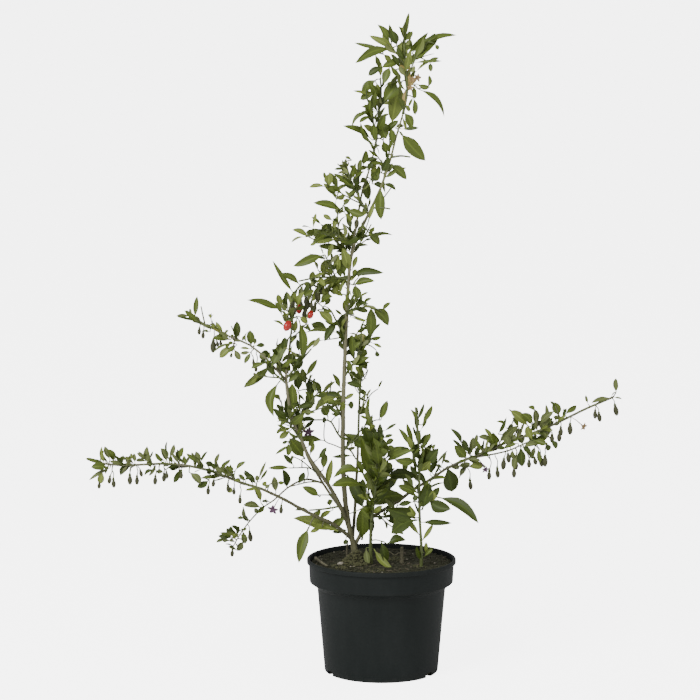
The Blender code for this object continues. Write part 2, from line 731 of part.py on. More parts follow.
def build_mass(mass, plant, work, guides, neighbours, finish):
    """Grows one mass, skips what would leave its space or touch a neighbour, and joins the rest."""
    growth = grow(mass)
    stem = growth.twigs[0][0]
    reach = mass.reach * MM
    parent = next(limb for limb in LIMBS if limb.name == mass.parent)
    kept = {0}
    specs = []
    for number, (path, foot) in enumerate(growth.twigs):
        inside = all(distance_to_path(p, stem) < reach for p in path)
        if number and not (inside and tube_is_clear(neighbours, guides, work, twig_spec(path, foot, LEAF_CLEARANCE))):
            continue
        kept.add(number)
        specs.append(twig_spec(path, foot))
    pieces = tubes(specs, guides, work)
    if mass.at < 1.0:
        (space,) = tubes([limb_spec(parent, GAP)], guides, work)
        boolean(pieces[0], "DIFFERENCE", space)
        keep_largest(pieces[0])
        discard([space])
    for leaf in growth.leaves:
        inside = leaf.bend == LONG_LEAF_BEND or distance_to_path(leaf.tip, stem) < reach
        if leaf.twig in kept and inside and leaf_is_clear(neighbours, leaf):
            bm = bmesh.new()
            leaf_solid(bm, leaf)
            pieces.append(add_object("leaf", mesh_of(bm, "leaf"), work))
    for fruit in growth.fruits:
        wide = fruit_spec(fruit, LEAF_CLEARANCE)
        if fruit.twig in kept and tube_is_clear(neighbours, guides, work, wide):
            pieces += tubes([fruit_spec(fruit)], guides, work)
    joined = pieces[0]
    group = collection("pieces")
    for piece in pieces[1:]:
        work.objects.unlink(piece)
        group.objects.link(piece)
    boolean(joined, "UNION", group=group)
    discard(pieces[1:])
    bpy.data.collections.remove(group)
    keep_largest(joined)
    work.objects.unlink(joined)
    plant.objects.link(joined)
    joined.name = mass.name
    joined.data.materials.clear()
    joined.data.materials.append(finish)
    neighbours.add(joined.data)


def pot_profile():
    """Half section of the pot, from the middle of its floor up the inside, over the lip and down the outside."""
    band_radius = RIM_RADIUS - LIP_OVERHANG
    band_top = POT_HEIGHT - LIP_DROP
    band_foot = band_top - BAND_HEIGHT
    body_top = band_foot - SHOULDER_DROP
    inner_foot = BODY_FOOT_RADIUS - WALL
    inner_top = band_radius - WALL
    lip = []
    for i in range(5):
        turn = math.pi * (1.0 - i / 4)
        half = (RIM_RADIUS - inner_top - 0.3 * MM) / 2
        lip.append((RIM_RADIUS - half + half * math.cos(turn), POT_HEIGHT - 1.6 * MM + 1.6 * MM * math.sin(turn)))
    return [
        (0.0, FLOOR), (inner_foot, FLOOR),
        (BODY_TOP_RADIUS - WALL, body_top + WALL / 2), (inner_top - BAND_DRAFT, band_foot + WALL / 2),
        (inner_top, band_top), *lip,
        (RIM_RADIUS, POT_HEIGHT - LIP_DROP + 2.0 * MM), (band_radius, band_top),
        (band_radius - BAND_DRAFT, band_foot), (band_radius - BAND_DRAFT - 1.2 * MM, band_foot - 1.6 * MM),
        (BODY_TOP_RADIUS + 0.8 * MM, body_top + 1.2 * MM), (BODY_TOP_RADIUS, body_top),
        (BODY_FOOT_RADIUS, FOOT_ROUND), (BODY_FOOT_RADIUS - 0.7 * MM, FOOT_ROUND * 0.3),
        (BODY_FOOT_RADIUS - FOOT_ROUND, 0.0), (0.0, 0.0),
    ]


def soil_profile():
    """Half section of the soil, which fills the pot inside its wall, from the top down."""
    gap = SOIL_GAP * 1.2
    (_, (foot, floor), (body, body_z), (band_foot, band_foot_z), (band_top, band_z), *_) = pot_profile()
    rise = (SOIL_TOP - band_foot_z) / (band_z - band_foot_z)
    edge = band_foot + (band_top - band_foot) * min(rise, 1.0)
    return [
        (0.0, SOIL_TOP), (edge * 0.55, SOIL_TOP), (edge - gap, SOIL_TOP), (band_foot - gap, band_foot_z + gap),
        (body - gap, body_z + gap), (foot - gap, floor + gap), (0.0, floor + gap),
    ]


def turned(name, profile, home, finish):
    """A body turned from its half section."""
    mesh = bpy.data.meshes.new(name)
    mesh.from_pydata([(r, 0.0, z) for r, z in profile], [(i, i + 1) for i in range(len(profile) - 1)], [])
    made = add_object(name, mesh, home, finish)
    screw = made.modifiers.new("turn", "SCREW")
    screw.steps = screw.render_steps = POT_STEPS
    screw.use_merge_vertices = True
    screw.merge_threshold = 0.01 * MM
    screw.use_smooth_shade = True
    return made


def pot_cutters(home):
    """Three notches in the foot and a ring of drain holes in the floor."""
    made = []
    for angle in NOTCH_ANGLES:
        turn = math.radians(angle)
        bm = bmesh.new()
        size = Matrix.Diagonal((NOTCH_DEPTH * 2, NOTCH_WIDTH, NOTCH_HEIGHT * 2, 1.0))
        place = Matrix.Rotation(turn, 4, "Z") @ Matrix.Translation((BODY_FOOT_RADIUS, 0.0, 0.0))
        bmesh.ops.create_cube(bm, size=1.0, matrix=place @ size)
        made.append(add_object("notch_cutter", mesh_of(bm, "notch_cutter"), home))
    for i in range(DRAIN_COUNT):
        turn = math.tau * (i + 0.5) / DRAIN_COUNT
        bm = bmesh.new()
        place = Matrix.Translation((DRAIN_CIRCLE * math.cos(turn), DRAIN_CIRCLE * math.sin(turn), 0.0))
        bmesh.ops.create_cone(bm, cap_ends=True, segments=DRAIN_SIDES, radius1=DRAIN_RADIUS,
                              radius2=DRAIN_RADIUS, depth=FLOOR * 4, matrix=place)
        made.append(add_object("drain_cutter", mesh_of(bm, "drain_cutter"), home))
    for cutter in made:
        cutter.hide_render = True
        cutter.display_type = "WIRE"
    return made


def build_pot(plant, cutters):
    pot = turned("pot", pot_profile(), plant, material("moulded_plastic", (0.022, 0.027, 0.026), 0.45))
    pot_cutters(cutters)
    cut = pot.modifiers.new("cut", "BOOLEAN")
    cut.operation = "DIFFERENCE"
    cut.solver = "EXACT"
    cut.operand_type = "COLLECTION"
    cut.collection = cutters
    soil = turned("soil", soil_profile(), plant, material("peat_soil", (0.055, 0.042, 0.028), 0.95))
    return pot, soil


def main():
    for old in list(bpy.context.scene.objects):
        bpy.data.objects.remove(old)
    plant = collection("potted_goji_bush")
    cutters = collection("cutters")
    sections = collection("sections")
    work = collection("work")
    guides = Guides(sections)
    bark = material("bark", (0.32, 0.27, 0.19), 0.85)
    green_stem = material("green_stem", (0.18, 0.24, 0.07), 0.6)
    leaf_green = material("leaf_green", (0.10, 0.17, 0.035), 0.55)
    pot, soil = build_pot(plant, cutters)
    limbs = build_limbs(plant, work, guides, bark, green_stem)
    neighbours = Neighbours()
    bpy.context.view_layer.update()
    graph = bpy.context.evaluated_depsgraph_get()
    for turned_body in (pot, soil):
        neighbours.add(turned_body.evaluated_get(graph).to_mesh())
    for solid in limbs:
        neighbours.add(solid.data)
    for mass in MASSES:
        build_mass(mass, plant, work, guides, neighbours, leaf_green)
    bpy.data.collections.remove(work)


main()
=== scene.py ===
"""Dresses the potted goji berry bush: pot, soil, barked stems, twigs, leaves, berries and flowers.

Metres, +Z up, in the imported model's frame. The stems, boughs and twigs follow the same named points and the
same seeded rule as the solids, and carry on from them to finer twigs and single leaves.
"""
import functools
import json
import math
import random
from dataclasses import dataclass, field

import bmesh
import bpy
from bpy.props import FloatProperty, FloatVectorProperty, IntProperty, PointerProperty
from mathutils import Matrix, Vector, noise

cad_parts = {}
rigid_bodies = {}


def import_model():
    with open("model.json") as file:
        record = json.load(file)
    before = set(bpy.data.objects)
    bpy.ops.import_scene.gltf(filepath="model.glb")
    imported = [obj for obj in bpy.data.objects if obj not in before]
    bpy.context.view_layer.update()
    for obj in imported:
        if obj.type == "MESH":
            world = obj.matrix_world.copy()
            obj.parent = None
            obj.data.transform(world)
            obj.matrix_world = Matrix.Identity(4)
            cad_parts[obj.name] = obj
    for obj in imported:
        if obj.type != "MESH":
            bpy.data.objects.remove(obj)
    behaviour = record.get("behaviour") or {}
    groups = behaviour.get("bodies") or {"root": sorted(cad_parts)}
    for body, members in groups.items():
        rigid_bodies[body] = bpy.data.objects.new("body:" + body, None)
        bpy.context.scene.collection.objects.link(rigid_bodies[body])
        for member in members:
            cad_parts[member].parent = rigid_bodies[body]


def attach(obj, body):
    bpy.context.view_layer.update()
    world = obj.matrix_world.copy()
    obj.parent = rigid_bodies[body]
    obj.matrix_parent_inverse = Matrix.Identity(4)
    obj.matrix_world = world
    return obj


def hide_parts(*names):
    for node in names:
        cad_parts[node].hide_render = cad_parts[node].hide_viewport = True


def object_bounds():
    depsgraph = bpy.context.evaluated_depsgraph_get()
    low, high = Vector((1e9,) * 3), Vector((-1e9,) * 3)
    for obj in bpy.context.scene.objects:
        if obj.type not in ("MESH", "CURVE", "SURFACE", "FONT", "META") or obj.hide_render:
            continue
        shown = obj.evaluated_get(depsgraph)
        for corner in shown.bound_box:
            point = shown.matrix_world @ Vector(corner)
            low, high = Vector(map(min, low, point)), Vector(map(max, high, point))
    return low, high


bl_info = {
    "name": "Potted goji bush",
    "version": (1, 0, 0),
    "blender": (4, 5, 0),
    "location": "3D View > Sidebar > Bush",
    "description": "Builds a potted goji berry bush around its packed solids",
    "category": "Object",
}

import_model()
CAD_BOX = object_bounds()
BODY = "root"

MM = 0.001
UP = Vector((0.0, 0.0, 1.0))
GAP = 0.3 * MM
GOLDEN_ANGLE = math.radians(137.5)

# Camera and light
CAMERA_PLACE = (-0.040, -3.600, 0.900)
CAMERA_TILT = math.radians(82.3)
CAMERA_PITCH = math.pi / 2 - CAMERA_TILT
CAMERA_LENS = 148.0
SENSOR_WIDTH = 36.0
TO_CAMERA = Vector((0.0, -0.99, 0.13))
FLOOR_SIZE = 260.0
LIGHTS_AIM = Vector((0.0, 0.0, 0.4))
# Each soft light: its name, place and size, and its power as a share of the key light's
LIGHTS = (("key_light", (-1.6, -2.2, 2.4), 1.6, 1.0), ("fill_light", (2.2, -1.6, 1.4), 2.0, 0.14))

# Photo, in its own pixels
PHOTO_SIZE = 700.0
PHOTO_MIDDLE = PHOTO_SIZE / 2
FOCAL_PIXELS = CAMERA_LENS / SENSOR_WIDTH * PHOTO_SIZE
MM_A_PIXEL = 1.27 * MM

# Pot
RIM_RADIUS = 95.0 * MM
POT_HEIGHT = 146.0 * MM
LIP_DROP = 7.0 * MM
LIP_OVERHANG = 2.6 * MM
BAND_HEIGHT = 22.0 * MM
BAND_DRAFT = 1.0 * MM
SHOULDER_DROP = 8.0 * MM
BODY_TOP_RADIUS = 81.7 * MM
BODY_FOOT_RADIUS = 72.6 * MM
FOOT_ROUND = 2.5 * MM
LIP_ROUND = 1.6 * MM
UNDER_LIP_ROUND = 0.8 * MM
BAND_ROUND = 1.2 * MM
WALL = 1.6 * MM
FLOOR = 2.0 * MM
POT_STEPS = 144
POT_SHARP = 32.0
NOTCH_ANGLES = (86.0, 206.0, 326.0)
NOTCH_WIDTH = 13.0 * MM
NOTCH_HEIGHT = 6.0 * MM
NOTCH_DEPTH = 9.0 * MM
NOTCH_ROUND = 2.0 * MM
DRAIN_COUNT = 6
DRAIN_RADIUS = 4.0 * MM
DRAIN_CIRCLE = 44.0 * MM

# Soil
SOIL_TOP = 141.0 * MM
GROUND = SOIL_TOP + GAP
SOIL_EDGE = 89.5 * MM
SOIL_FLOOR = 3.0 * MM
SOIL_FOOT_GAP = 2.4 * MM
SOIL_SIDE_GAP = 9.0 * MM
SOIL_RINGS = 64
SOIL_STEPS = 160
SOIL_WELD = 0.002 * MM
# Heights in millimetres: where the soil's side bends, how far its edge has settled, and its mossy mound
SOIL_SHOULDER = 106.0
EDGE_DROP = 1.1
MOUND_RISE = 16.0
MOUND = Vector((-32.0, -11.0, 0.0)) * MM
MOUND_SPREAD = 14.0 * MM
# How fine the soil's clods are and how they are built up, then how fine and high its crumbs are
CLOD_SCALE = 55.0
CLOD_NOISE = (1.0, 2.1, 4)
CRUMB_SCALES = ((420.0, 0.45), (900.0, 0.25))
# Patches of moss: centre, reach in millimetres, and how many tufts
MOSS = ((Vector((-32.0, -13.0, 0.0)), 20.0, 400), (Vector((-48.0, -30.0, 0.0)), 16.0, 60),
        (Vector((16.0, 18.0, 0.0)), 15.0, 50), (Vector((48.0, -30.0, 0.0)), 9.0, 22),
        (Vector((-12.0, -50.0, 0.0)), 16.0, 34))
LITTER_REACH = SOIL_EDGE - 3.0 * MM
# How a lump's width varies, how far it tilts, how high it sits, and how rough and crooked it is
LITTER_WIDTH = (0.7, 1.2)
LITTER_TILT = 0.25
LITTER_SEAT = 0.2
LUMP_ROUGHNESS = (0.75, 1.15)
LUMP_SHIFT = 0.08
CHIPS = 70
CHIP_TINTS = ((0.046, 0.036, 0.022), (0.098, 0.080, 0.050))
STONES = 26
STONE_TINTS = ((0.330, 0.300, 0.240), (0.190, 0.175, 0.140))
PEBBLE = Vector((-52.0, -23.0, 0.0)) * MM
OLD_WOOD_TINTS = ((0.150, 0.140, 0.085), (0.075, 0.068, 0.042))
# Old stubs, a fallen twig and a rootlet: radius and path in millimetres
DEBRIS = ((2.9, ((26, -4, 138), (26, -4, 150), (26, -3, 161))),
          (2.1, ((-84, 8, 144), (-78, -14, 144), (-69, -36, 143))),
          (0.9, ((3, 20, 141), (9, 20, 150), (17, 20, 145), (24, 21, 148), (28, 22, 140))),
          (1.6, ((-43, 14, 140), (-44, 14, 152), (-43, 15, 166))))

# Stems and twigs
STEM_STEP = 24.0 * MM
TWIG_STEP = 22.0 * MM
TWIG_END = 0.45 * MM
SHOOT_RADIUS = 0.8 * MM
ROOT_FLARE = 4.2 * MM
FLARE_RUN = 9.0 * MM
ROOT_LOBES = 5
STEM_SINK = 4.0 * MM
RING_STEP = 2.2 * MM
STEM_SIDES = 18
TWIG_SIDES = 6
STALK_SIDES = 7
KNOT_GAP = 21.0 * MM
# The bark's relief: heights as shares of the limb's radius, and how fine the ridges are each way
BARK_DEPTH = 0.10
SHOOT_BARK_DEPTH = 0.02
RIDGES = (2.2, 70.0)
FISSURES = (4.5, 160.0)
KNOT_RISE = 0.16
KNOT_SHARPNESS = 14
LOBE_RISE = 0.34
LOBE_TURN = 0.7
LIMB_SPARE = 0.3 * MM
TWIG_SPARE = 0.4
TWIG_TAPER = 0.72
TWIG_RING_STEP = 4.0 * MM
SPUR_RADIUS = 0.7 * MM
FINE_TWIG = (9.0 * MM, 20.0 * MM)
FINE_TWIG_GAP = 6.0 * MM
FINE_TWIG_STEP = 5.0 * MM
FINE_TWIG_RADIUS = 0.55 * MM

# Growing rule, as shares of a twig's length, of a gap between nodes, of a turn, a size or a width
FIRST_SHOOT = 0.1
SHOOT_RUN = 0.8
SHOOT_PLACE = (0.25, 0.75)
SHOOT_SHORTENING = 0.4
NODE_PLACE = (0.3, 0.9)
FINE_SPLAY = 1.2
LEAF_SHORTENING = 0.2
LEAF_WIDTH = (0.8, 1.2)
LEAF_BEND = (-0.06, 0.16)
SIDE_LEAF_TURN = 0.45
SIDE_LEAF_SIZE = (0.6, 0.95)
END_LEAF_SIZE = (1.0, 1.5)
SAME_TONE = 0.6
# Least sine between a twig and upright, and between a leaf and the way it faces, for a side direction
STEEP_TWIG = 0.2
ALONG_LEAF = 0.25

# Where the rule's twigs and leaves may reach: in metres past the solids' box and off the pot, and in pixels
SPARE = 2.0 * MM
POT_GAP = 3.0 * MM
BOUGH_BAND = 14.0
OUTLINE_SPARE = 1.0

# How what shows singly is seated, in pixels
NEAR_TWIG = 2.0
LONG_SPUR = 4.0
BROAD_LEAF = 8.0
# How far it comes forward or back, in millimetres
SPUR_DRIFT = 3.0
TWIG_DRIFT = (-12.0, 4.0)
FRUIT_DRIFT = 2.0
RIPE_AHEAD = 15.0
# The same for a leaf, and how it bends, as shares of its length
SEEN_LEAF_DRIFT = (-0.45, 0.25)
SEEN_LEAF_BEND = (-0.02, 0.08)
# How steep the side direction of an upright leaf may be in the photo
UPRIGHT_SIDE = 0.2
FLOWER_AHEAD = 4.0 * MM
CARRIER_STEP = 2.5 * MM
# How much longer a green fruit is than it shows
GREEN_STRETCH = 1.15

# Leaves, fruit and flowers
LEAF_ROLL = math.radians(25.0)
LEAF_TWIST = math.radians(35.0)
LEAF_WAVE = 0.15
LEAF_ROWS = 8
LEAF_COLUMNS = 4
LEAF_STALK = 0.09
STALK_WIDTH = 0.16
SHORT_LEAF = 23.0 * MM
# How far towards its tip a leaf is widest, the greater the further, and how full it is, the less the fuller
SHORT_SKEW = (1.0, 1.35)
LONG_SKEW = (0.75, 1.1)
SHORT_FULLNESS = 0.60
LONG_FULLNESS = 0.68
FOLD_CURVE = 1.3
WAVE_RATE = 8.0
WAVE_SHIFT = 0.9
# How wide a fruit is as a share of its length, a green one's thickness past that, and where it is widest
RIPE_GIRTH = 0.60
GREEN_GIRTH = 0.32
GREEN_THICKNESS = 1.5 * MM
RIPE_SKEW = 1.0
GREEN_SKEW = 1.15
STALK_RADIUS = 0.70 * MM
STALK_BOW = 0.12
STALK_RING_STEP = 1.5 * MM
# Where a stalk begins to widen into its cup, and how far the cup reaches over the fruit
CUP_START = 0.72
CUP_REACH = 0.16
PETALS = 5
PETAL_ROWS = 4
# A petal's turn out of its place in radians, and its cup and half width as shares of its length
PETAL_TURN = 0.1
PETAL_CUP = 0.35
PETAL_HALF = 0.30

# Seeds of what is dealt out by chance
SEEN_SEED = 19
LEAF_SEED = 7
# How many draws a leaf's shape takes, passed over for the leaves of other tones
LEAF_DRAWS = 4
LITTER_SEED = 5
FLOWER_SEED = 3


@dataclass
class Limb:
    """One tapering limb through its points, in millimetres, from its foot to its tip."""

    name: str
    parent: str
    foot_radius: float
    tip_radius: float
    points: tuple


@dataclass
class Habit:
    """How a twig branches and bears leaves, in millimetres and degrees."""

    node_gap: float
    cluster: tuple
    leaf: tuple
    slim: float
    spread: tuple
    lift: float
    shoot: tuple
    branch: float
    bow: float
    fine_twigs: float


@dataclass
class Mass:
    """One mass of foliage on its own twig, which leaves its parent limb at a share of its length."""

    name: str
    parent: str
    habit: Habit
    seed: int
    reach: float
    shoots: int
    at: float = 1.0
    points: tuple = ()
    heading: float = 0.0
    rise: float = 0.0
    length: float = 0.0
    bend: float = 0.0
    radius: float = 1.1
    tones: str = "mixed"


@dataclass
class Leaf:
    """One leaf: its root and tip, its width, its bend, its turn about its own length, its tone, the way its
    upper side faces, and how far its middle swings aside."""

    root: Vector
    tip: Vector
    width: float
    bend: float = 0.06
    roll: float = 0.0
    tone: str = "mid"
    facing: Vector = UP
    swing: Vector = Vector((0.0, 0.0, 0.0))


@dataclass
class Fruit:
    """One hanging fruit: where its stalk leaves the twig, its lowest point, its length and its ripeness."""

    root: Vector
    bottom: Vector
    length: float
    ripe: bool = False


@dataclass
class Flower:
    """One star flower: where its stalk leaves the twig, its middle, a petal's length, and whether it has
    withered."""

    root: Vector
    middle: Vector
    petal: float
    withered: bool


@dataclass
class Growth:
    """What the rule lays out for one mass; a twig is its path and its radius at its foot."""

    twigs: list = field(default_factory=list)
    leaves: list = field(default_factory=list)
    fruits: list = field(default_factory=list)
    flowers: list = field(default_factory=list)


@dataclass
class Lump:
    """One kind of lump on the soil: its length, its width and height as shares of that, and its sides."""

    length: tuple
    slim: float
    flat: float
    sides: int


CRUMB = Lump((1.2 * MM, 4.2 * MM), 0.75, 0.8, 5)
CHIP = Lump((4.0 * MM, 12.0 * MM), 0.32, 0.4, 5)
STONE = Lump((1.6 * MM, 3.6 * MM), 0.8, 0.75, 6)
LARGE_STONE = Lump((8.8 * MM, 9.0 * MM), 0.85, 0.85, 8)
TUFT = Lump((2.0 * MM, 5.5 * MM), 0.6, 0.9, 5)


@dataclass
class Tone:
    """One leaf colour: its upper and under sides."""

    upper: tuple
    under: tuple


LEAF_TONES = {
    "dark": Tone((0.048, 0.072, 0.009), (0.085, 0.112, 0.026)),
    "mid": Tone((0.092, 0.126, 0.018), (0.140, 0.172, 0.048)),
    "light": Tone((0.170, 0.212, 0.042), (0.215, 0.250, 0.085)),
    "greyed": Tone((0.130, 0.156, 0.050), (0.188, 0.208, 0.092)),
    "yellowed": Tone((0.240, 0.240, 0.050), (0.270, 0.270, 0.090)),
    "withered": Tone((0.380, 0.290, 0.090), (0.360, 0.280, 0.110)),
}
# How often each tone is dealt out
TONE_SHARES = {
    "fresh": {"dark": 0.17, "mid": 0.50, "light": 0.31, "yellowed": 0.02},
    "mixed": {"dark": 0.28, "mid": 0.48, "light": 0.20, "greyed": 0.02, "yellowed": 0.02},
    # Mostly dark leaves: painted shade for the foliage in the middle and low down in the bush
    "painted_shade": {"dark": 0.44, "mid": 0.47, "light": 0.08, "yellowed": 0.01},
    "bough": {"dark": 0.26, "mid": 0.28, "light": 0.08, "greyed": 0.37, "yellowed": 0.01},
    "young": {"mid": 0.30, "light": 0.40, "greyed": 0.24, "yellowed": 0.06},
    "withered": {"withered": 1.0},
}

LIMBS = (
    Limb("main_stem", "", 3.4, 0.9, (
        (-31, -8, 130), (-34, -6, 155), (-39, -3, 178), (-44, -1, 202), (-48, 1, 247), (-49, 3, 298),
        (-48, 5, 361), (-45, 5, 438), (-40, 2, 521), (-31, 1, 556), (-17, 0, 585), (-1, -2, 620),
        (10, -4, 653), (17, -6, 680), (26, -8, 711))),
    Limb("upper_stem", "main_stem", 1.3, 0.8, (
        (-39, 2, 530), (-32, 12, 571), (-24, 18, 614), (-16, 20, 639), (-10, 20, 662))),
    Limb("left_stem", "main_stem", 2.5, 1.4, (
        (-43, -2, 193), (-51, -8, 212), (-65, -13, 239), (-78, -17, 259), (-92, -21, 280),
        (-102, -25, 305), (-112, -27, 328), (-117, -29, 353), (-120, -30, 382), (-116, -30, 415))),
    Limb("back_left_stem", "main_stem", 1.7, 1.1, (
        (-38, -3, 170), (-49, 8, 202), (-66, 17, 226), (-82, 25, 250), (-94, 31, 270), (-101, 34, 292))),
    Limb("low_left_bough", "main_stem", 2.3, 1.5, (
        (-38, -4, 172), (-60, -16, 192), (-82, -24, 204), (-103, -30, 216), (-124, -36, 229),
        (-151, -42, 243))),
    Limb("drooping_bough", "back_left_stem", 1.2, 0.8, (
        (-75, 21, 239), (-96, 30, 242), (-117, 36, 232), (-138, 40, 213))),
    Limb("upper_left_bough", "left_stem", 1.4, 1.0, (
        (-119, -30, 378), (-134, -27, 394), (-150, -22, 410), (-166, -18, 422))),
    Limb("right_bough", "main_stem", 2.3, 1.5, (
        (-35, -5, 161), (-22, 6, 183), (-7, 14, 199), (20, 22, 214), (41, 28, 229), (61, 34, 240),
        (83, 40, 254))),
    Limb("centre_shoot", "", 2.2, 1.7, (
        (-12, -18, 130), (-14, -21, 165), (-13, -28, 198))),
    Limb("front_shoot", "", 1.9, 1.4, (
        (50, -31, 130), (50, -32, 168), (48, -33, 201))),
    Limb("back_bough", "main_stem", 2.0, 1.2, (
        (-37, -3, 168), (-34, 24, 200), (-32, 58, 232), (-30, 92, 262), (-29, 118, 292))),
)

VIGOROUS = Habit(node_gap=10.5, cluster=(1, 2), leaf=(20.0, 38.0), slim=0.31, spread=(30.0, 66.0), lift=0.25,
                 shoot=(26.0, 46.0), branch=42.0, bow=0.35, fine_twigs=0.08)
FRUITING = Habit(node_gap=6.0, cluster=(1, 3), leaf=(14.0, 25.0), slim=0.28, spread=(30.0, 80.0), lift=0.5,
                 shoot=(18.0, 34.0), branch=38.0, bow=0.25, fine_twigs=0.05)
TUFTED = Habit(node_gap=9.0, cluster=(1, 3), leaf=(15.0, 30.0), slim=0.32, spread=(30.0, 75.0), lift=0.2,
               shoot=(20.0, 36.0), branch=48.0, bow=0.2, fine_twigs=0.08)
DENSE = Habit(node_gap=7.5, cluster=(2, 4), leaf=(20.0, 36.0), slim=0.34, spread=(30.0, 66.0), lift=0.25,
              shoot=(26.0, 46.0), branch=42.0, bow=0.35, fine_twigs=0.08)

MASSES = (
    Mass("crown_top_foliage", "main_stem", VIGOROUS, 11, 62, 5, points=(
        (26, -8, 711), (31, -11, 739), (30, -12, 763), (28, -12, 784), (28, -12, 803)),
         radius=1.3, tones="fresh"),
    Mass("crown_left_foliage", "upper_stem", VIGOROUS, 12, 46, 4, points=(
        (-10, 20, 662), (-6, 20, 682), (-4, 19, 707), (-1, 17, 732), (-2, 16, 755)), tones="fresh"),
    Mass("crown_right_foliage", "main_stem", TUFTED, 13, 44, 2, at=0.905, heading=-20, rise=10, length=26,
         bend=-30, tones="fresh"),
    Mass("crown_back_foliage", "main_stem", TUFTED, 14, 46, 2, at=0.86, heading=75, rise=50, length=46,
         tones="fresh"),
    Mass("high_right_foliage", "main_stem", TUFTED, 15, 44, 2, at=0.79, heading=-25, rise=5, length=26,
         bend=-20, tones="fresh"),
    Mass("high_left_foliage", "main_stem", TUFTED, 16, 46, 4, at=0.775, heading=187, rise=62, length=74,
         bend=10, tones="fresh"),
    Mass("upper_left_foliage", "main_stem", TUFTED, 17, 44, 3, at=0.70, heading=200, rise=35, length=52,
         bend=-5),
    Mass("upper_back_foliage", "main_stem", TUFTED, 18, 46, 3, at=0.66, heading=80, rise=45, length=54),
    Mass("upper_right_foliage", "main_stem", TUFTED, 19, 42, 2, at=0.715, heading=-12, rise=20, length=28),
    Mass("berry_foliage", "main_stem", TUFTED, 20, 60, 3, at=0.63, heading=197, rise=8, length=66, bend=-25),
    Mass("left_stem_top_foliage", "left_stem", TUFTED, 21, 52, 3, points=(
        (-116, -30, 415), (-114, -31, 436), (-112, -32, 455), (-115, -34, 472))),
    Mass("upper_left_bough_foliage", "upper_left_bough", FRUITING, 22, 27, 3, points=(
        (-166, -18, 422), (-181, -12, 428), (-201, -4, 435), (-222, 3, 445), (-236, 8, 453),
        (-245, 12, 456)), radius=1.0, tones="bough"),
    Mass("mid_left_outer_foliage", "left_stem", TUFTED, 23, 56, 4, at=0.83, heading=172, rise=40, length=34),
    Mass("mid_left_upper_foliage", "left_stem", TUFTED, 24, 44, 3, at=0.86, heading=-12, rise=50, length=50),
    Mass("mid_left_inner_foliage", "left_stem", TUFTED, 25, 44, 3, at=0.62, heading=-10, rise=52, length=54),
    Mass("mid_left_low_foliage", "left_stem", TUFTED, 26, 42, 2, at=0.5, heading=205, rise=55, length=40),
    Mass("back_left_foliage", "back_left_stem", TUFTED, 27, 46, 4, points=(
        (-101, 34, 292), (-103, 38, 318), (-96, 42, 343), (-89, 46, 366))),
    Mass("low_left_foliage", "low_left_bough", FRUITING, 28, 30, 4, points=(
        (-151, -42, 243), (-179, -48, 253), (-206, -53, 265), (-240, -59, 275), (-277, -65, 279),
        (-320, -71, 278), (-353, -76, 282)), radius=1.4, tones="bough"),
    Mass("drooping_foliage", "drooping_bough", FRUITING, 29, 28, 2, points=(
        (-138, 40, 213), (-153, 42, 202), (-169, 44, 185), (-182, 44, 167), (-191, 44, 151)),
         radius=0.8, tones="bough"),
    Mass("right_foliage", "right_bough", FRUITING, 30, 34, 5, points=(
        (83, 40, 254), (108, 44, 265), (130, 48, 272), (156, 52, 284), (192, 57, 296), (229, 63, 311),
        (263, 68, 327), (300, 74, 342)), radius=1.5, tones="bough"),
    # The next two masses take the darker tones, as painted shade
    Mass("centre_foliage", "centre_shoot", DENSE, 31, 56, 5, points=(
        (-13, -28, 198), (-10, -36, 228), (-7, -46, 268), (-10, -56, 307), (-13, -62, 334)),
         radius=1.6, tones="painted_shade"),
    Mass("front_foliage", "front_shoot", VIGOROUS, 32, 54, 4, points=(
        (48, -33, 201), (47, -36, 234), (47, -39, 273), (45, -42, 314), (42, -44, 347)),
         radius=1.3, tones="painted_shade"),
    Mass("base_left_foliage", "left_stem", TUFTED, 33, 60, 2, at=0.1, heading=190, rise=-8, length=40,
         bend=10),
    Mass("stem_right_foliage", "main_stem", TUFTED, 34, 42, 2, at=0.26, heading=-20, rise=50, length=42),
    Mass("stem_left_foliage", "main_stem", TUFTED, 35, 40, 2, at=0.33, heading=160, rise=58, length=44),
    Mass("middle_right_foliage", "main_stem", TUFTED, 36, 44, 3, at=0.42, heading=8, rise=55, length=60),
    Mass("middle_left_foliage", "main_stem", TUFTED, 37, 38, 2, at=0.5, heading=215, rise=60, length=44),
    Mass("middle_back_foliage", "main_stem", TUFTED, 38, 46, 2, at=0.46, heading=95, rise=45, length=52),
    Mass("middle_front_foliage", "main_stem", TUFTED, 39, 42, 2, at=0.55, heading=285, rise=45, length=42),
    Mass("back_foliage", "back_bough", VIGOROUS, 40, 48, 4, points=(
        (-29, 118, 292), (-28, 132, 318), (-27, 142, 345), (-27, 148, 370)), radius=1.2),
    # Darker tones here too, as painted shade
    Mass("base_right_foliage", "right_bough", TUFTED, 41, 50, 2, at=0.3, heading=-30, rise=5, length=34,
         tones="painted_shade"),
)

# The upright part of the bush in the photo: at each height, how far left and right its foliage reaches
SILHOUETTE = (
    (10, 403, 412), (25, 378, 414), (35, 368, 456), (45, 355, 458), (60, 353, 442), (66, 366, 438),
    (78, 366, 428), (92, 360, 430), (105, 359, 444), (118, 356, 444), (128, 350, 420), (140, 364, 424),
    (152, 358, 426), (160, 342, 424), (172, 326, 408), (184, 312, 398), (190, 308, 396), (195, 308, 385),
    (212, 310, 383), (222, 300, 378), (228, 294, 374), (233, 294, 380), (240, 292, 388), (255, 293, 372),
    (266, 270, 384), (285, 274, 378), (300, 246, 374), (312, 262, 390), (335, 268, 389), (350, 268, 370),
    (368, 262, 370), (386, 242, 366), (400, 266, 420), (415, 268, 428), (440, 280, 436), (470, 300, 446),
    (500, 296, 478), (525, 292, 478), (545, 292, 400), (575, 296, 398))

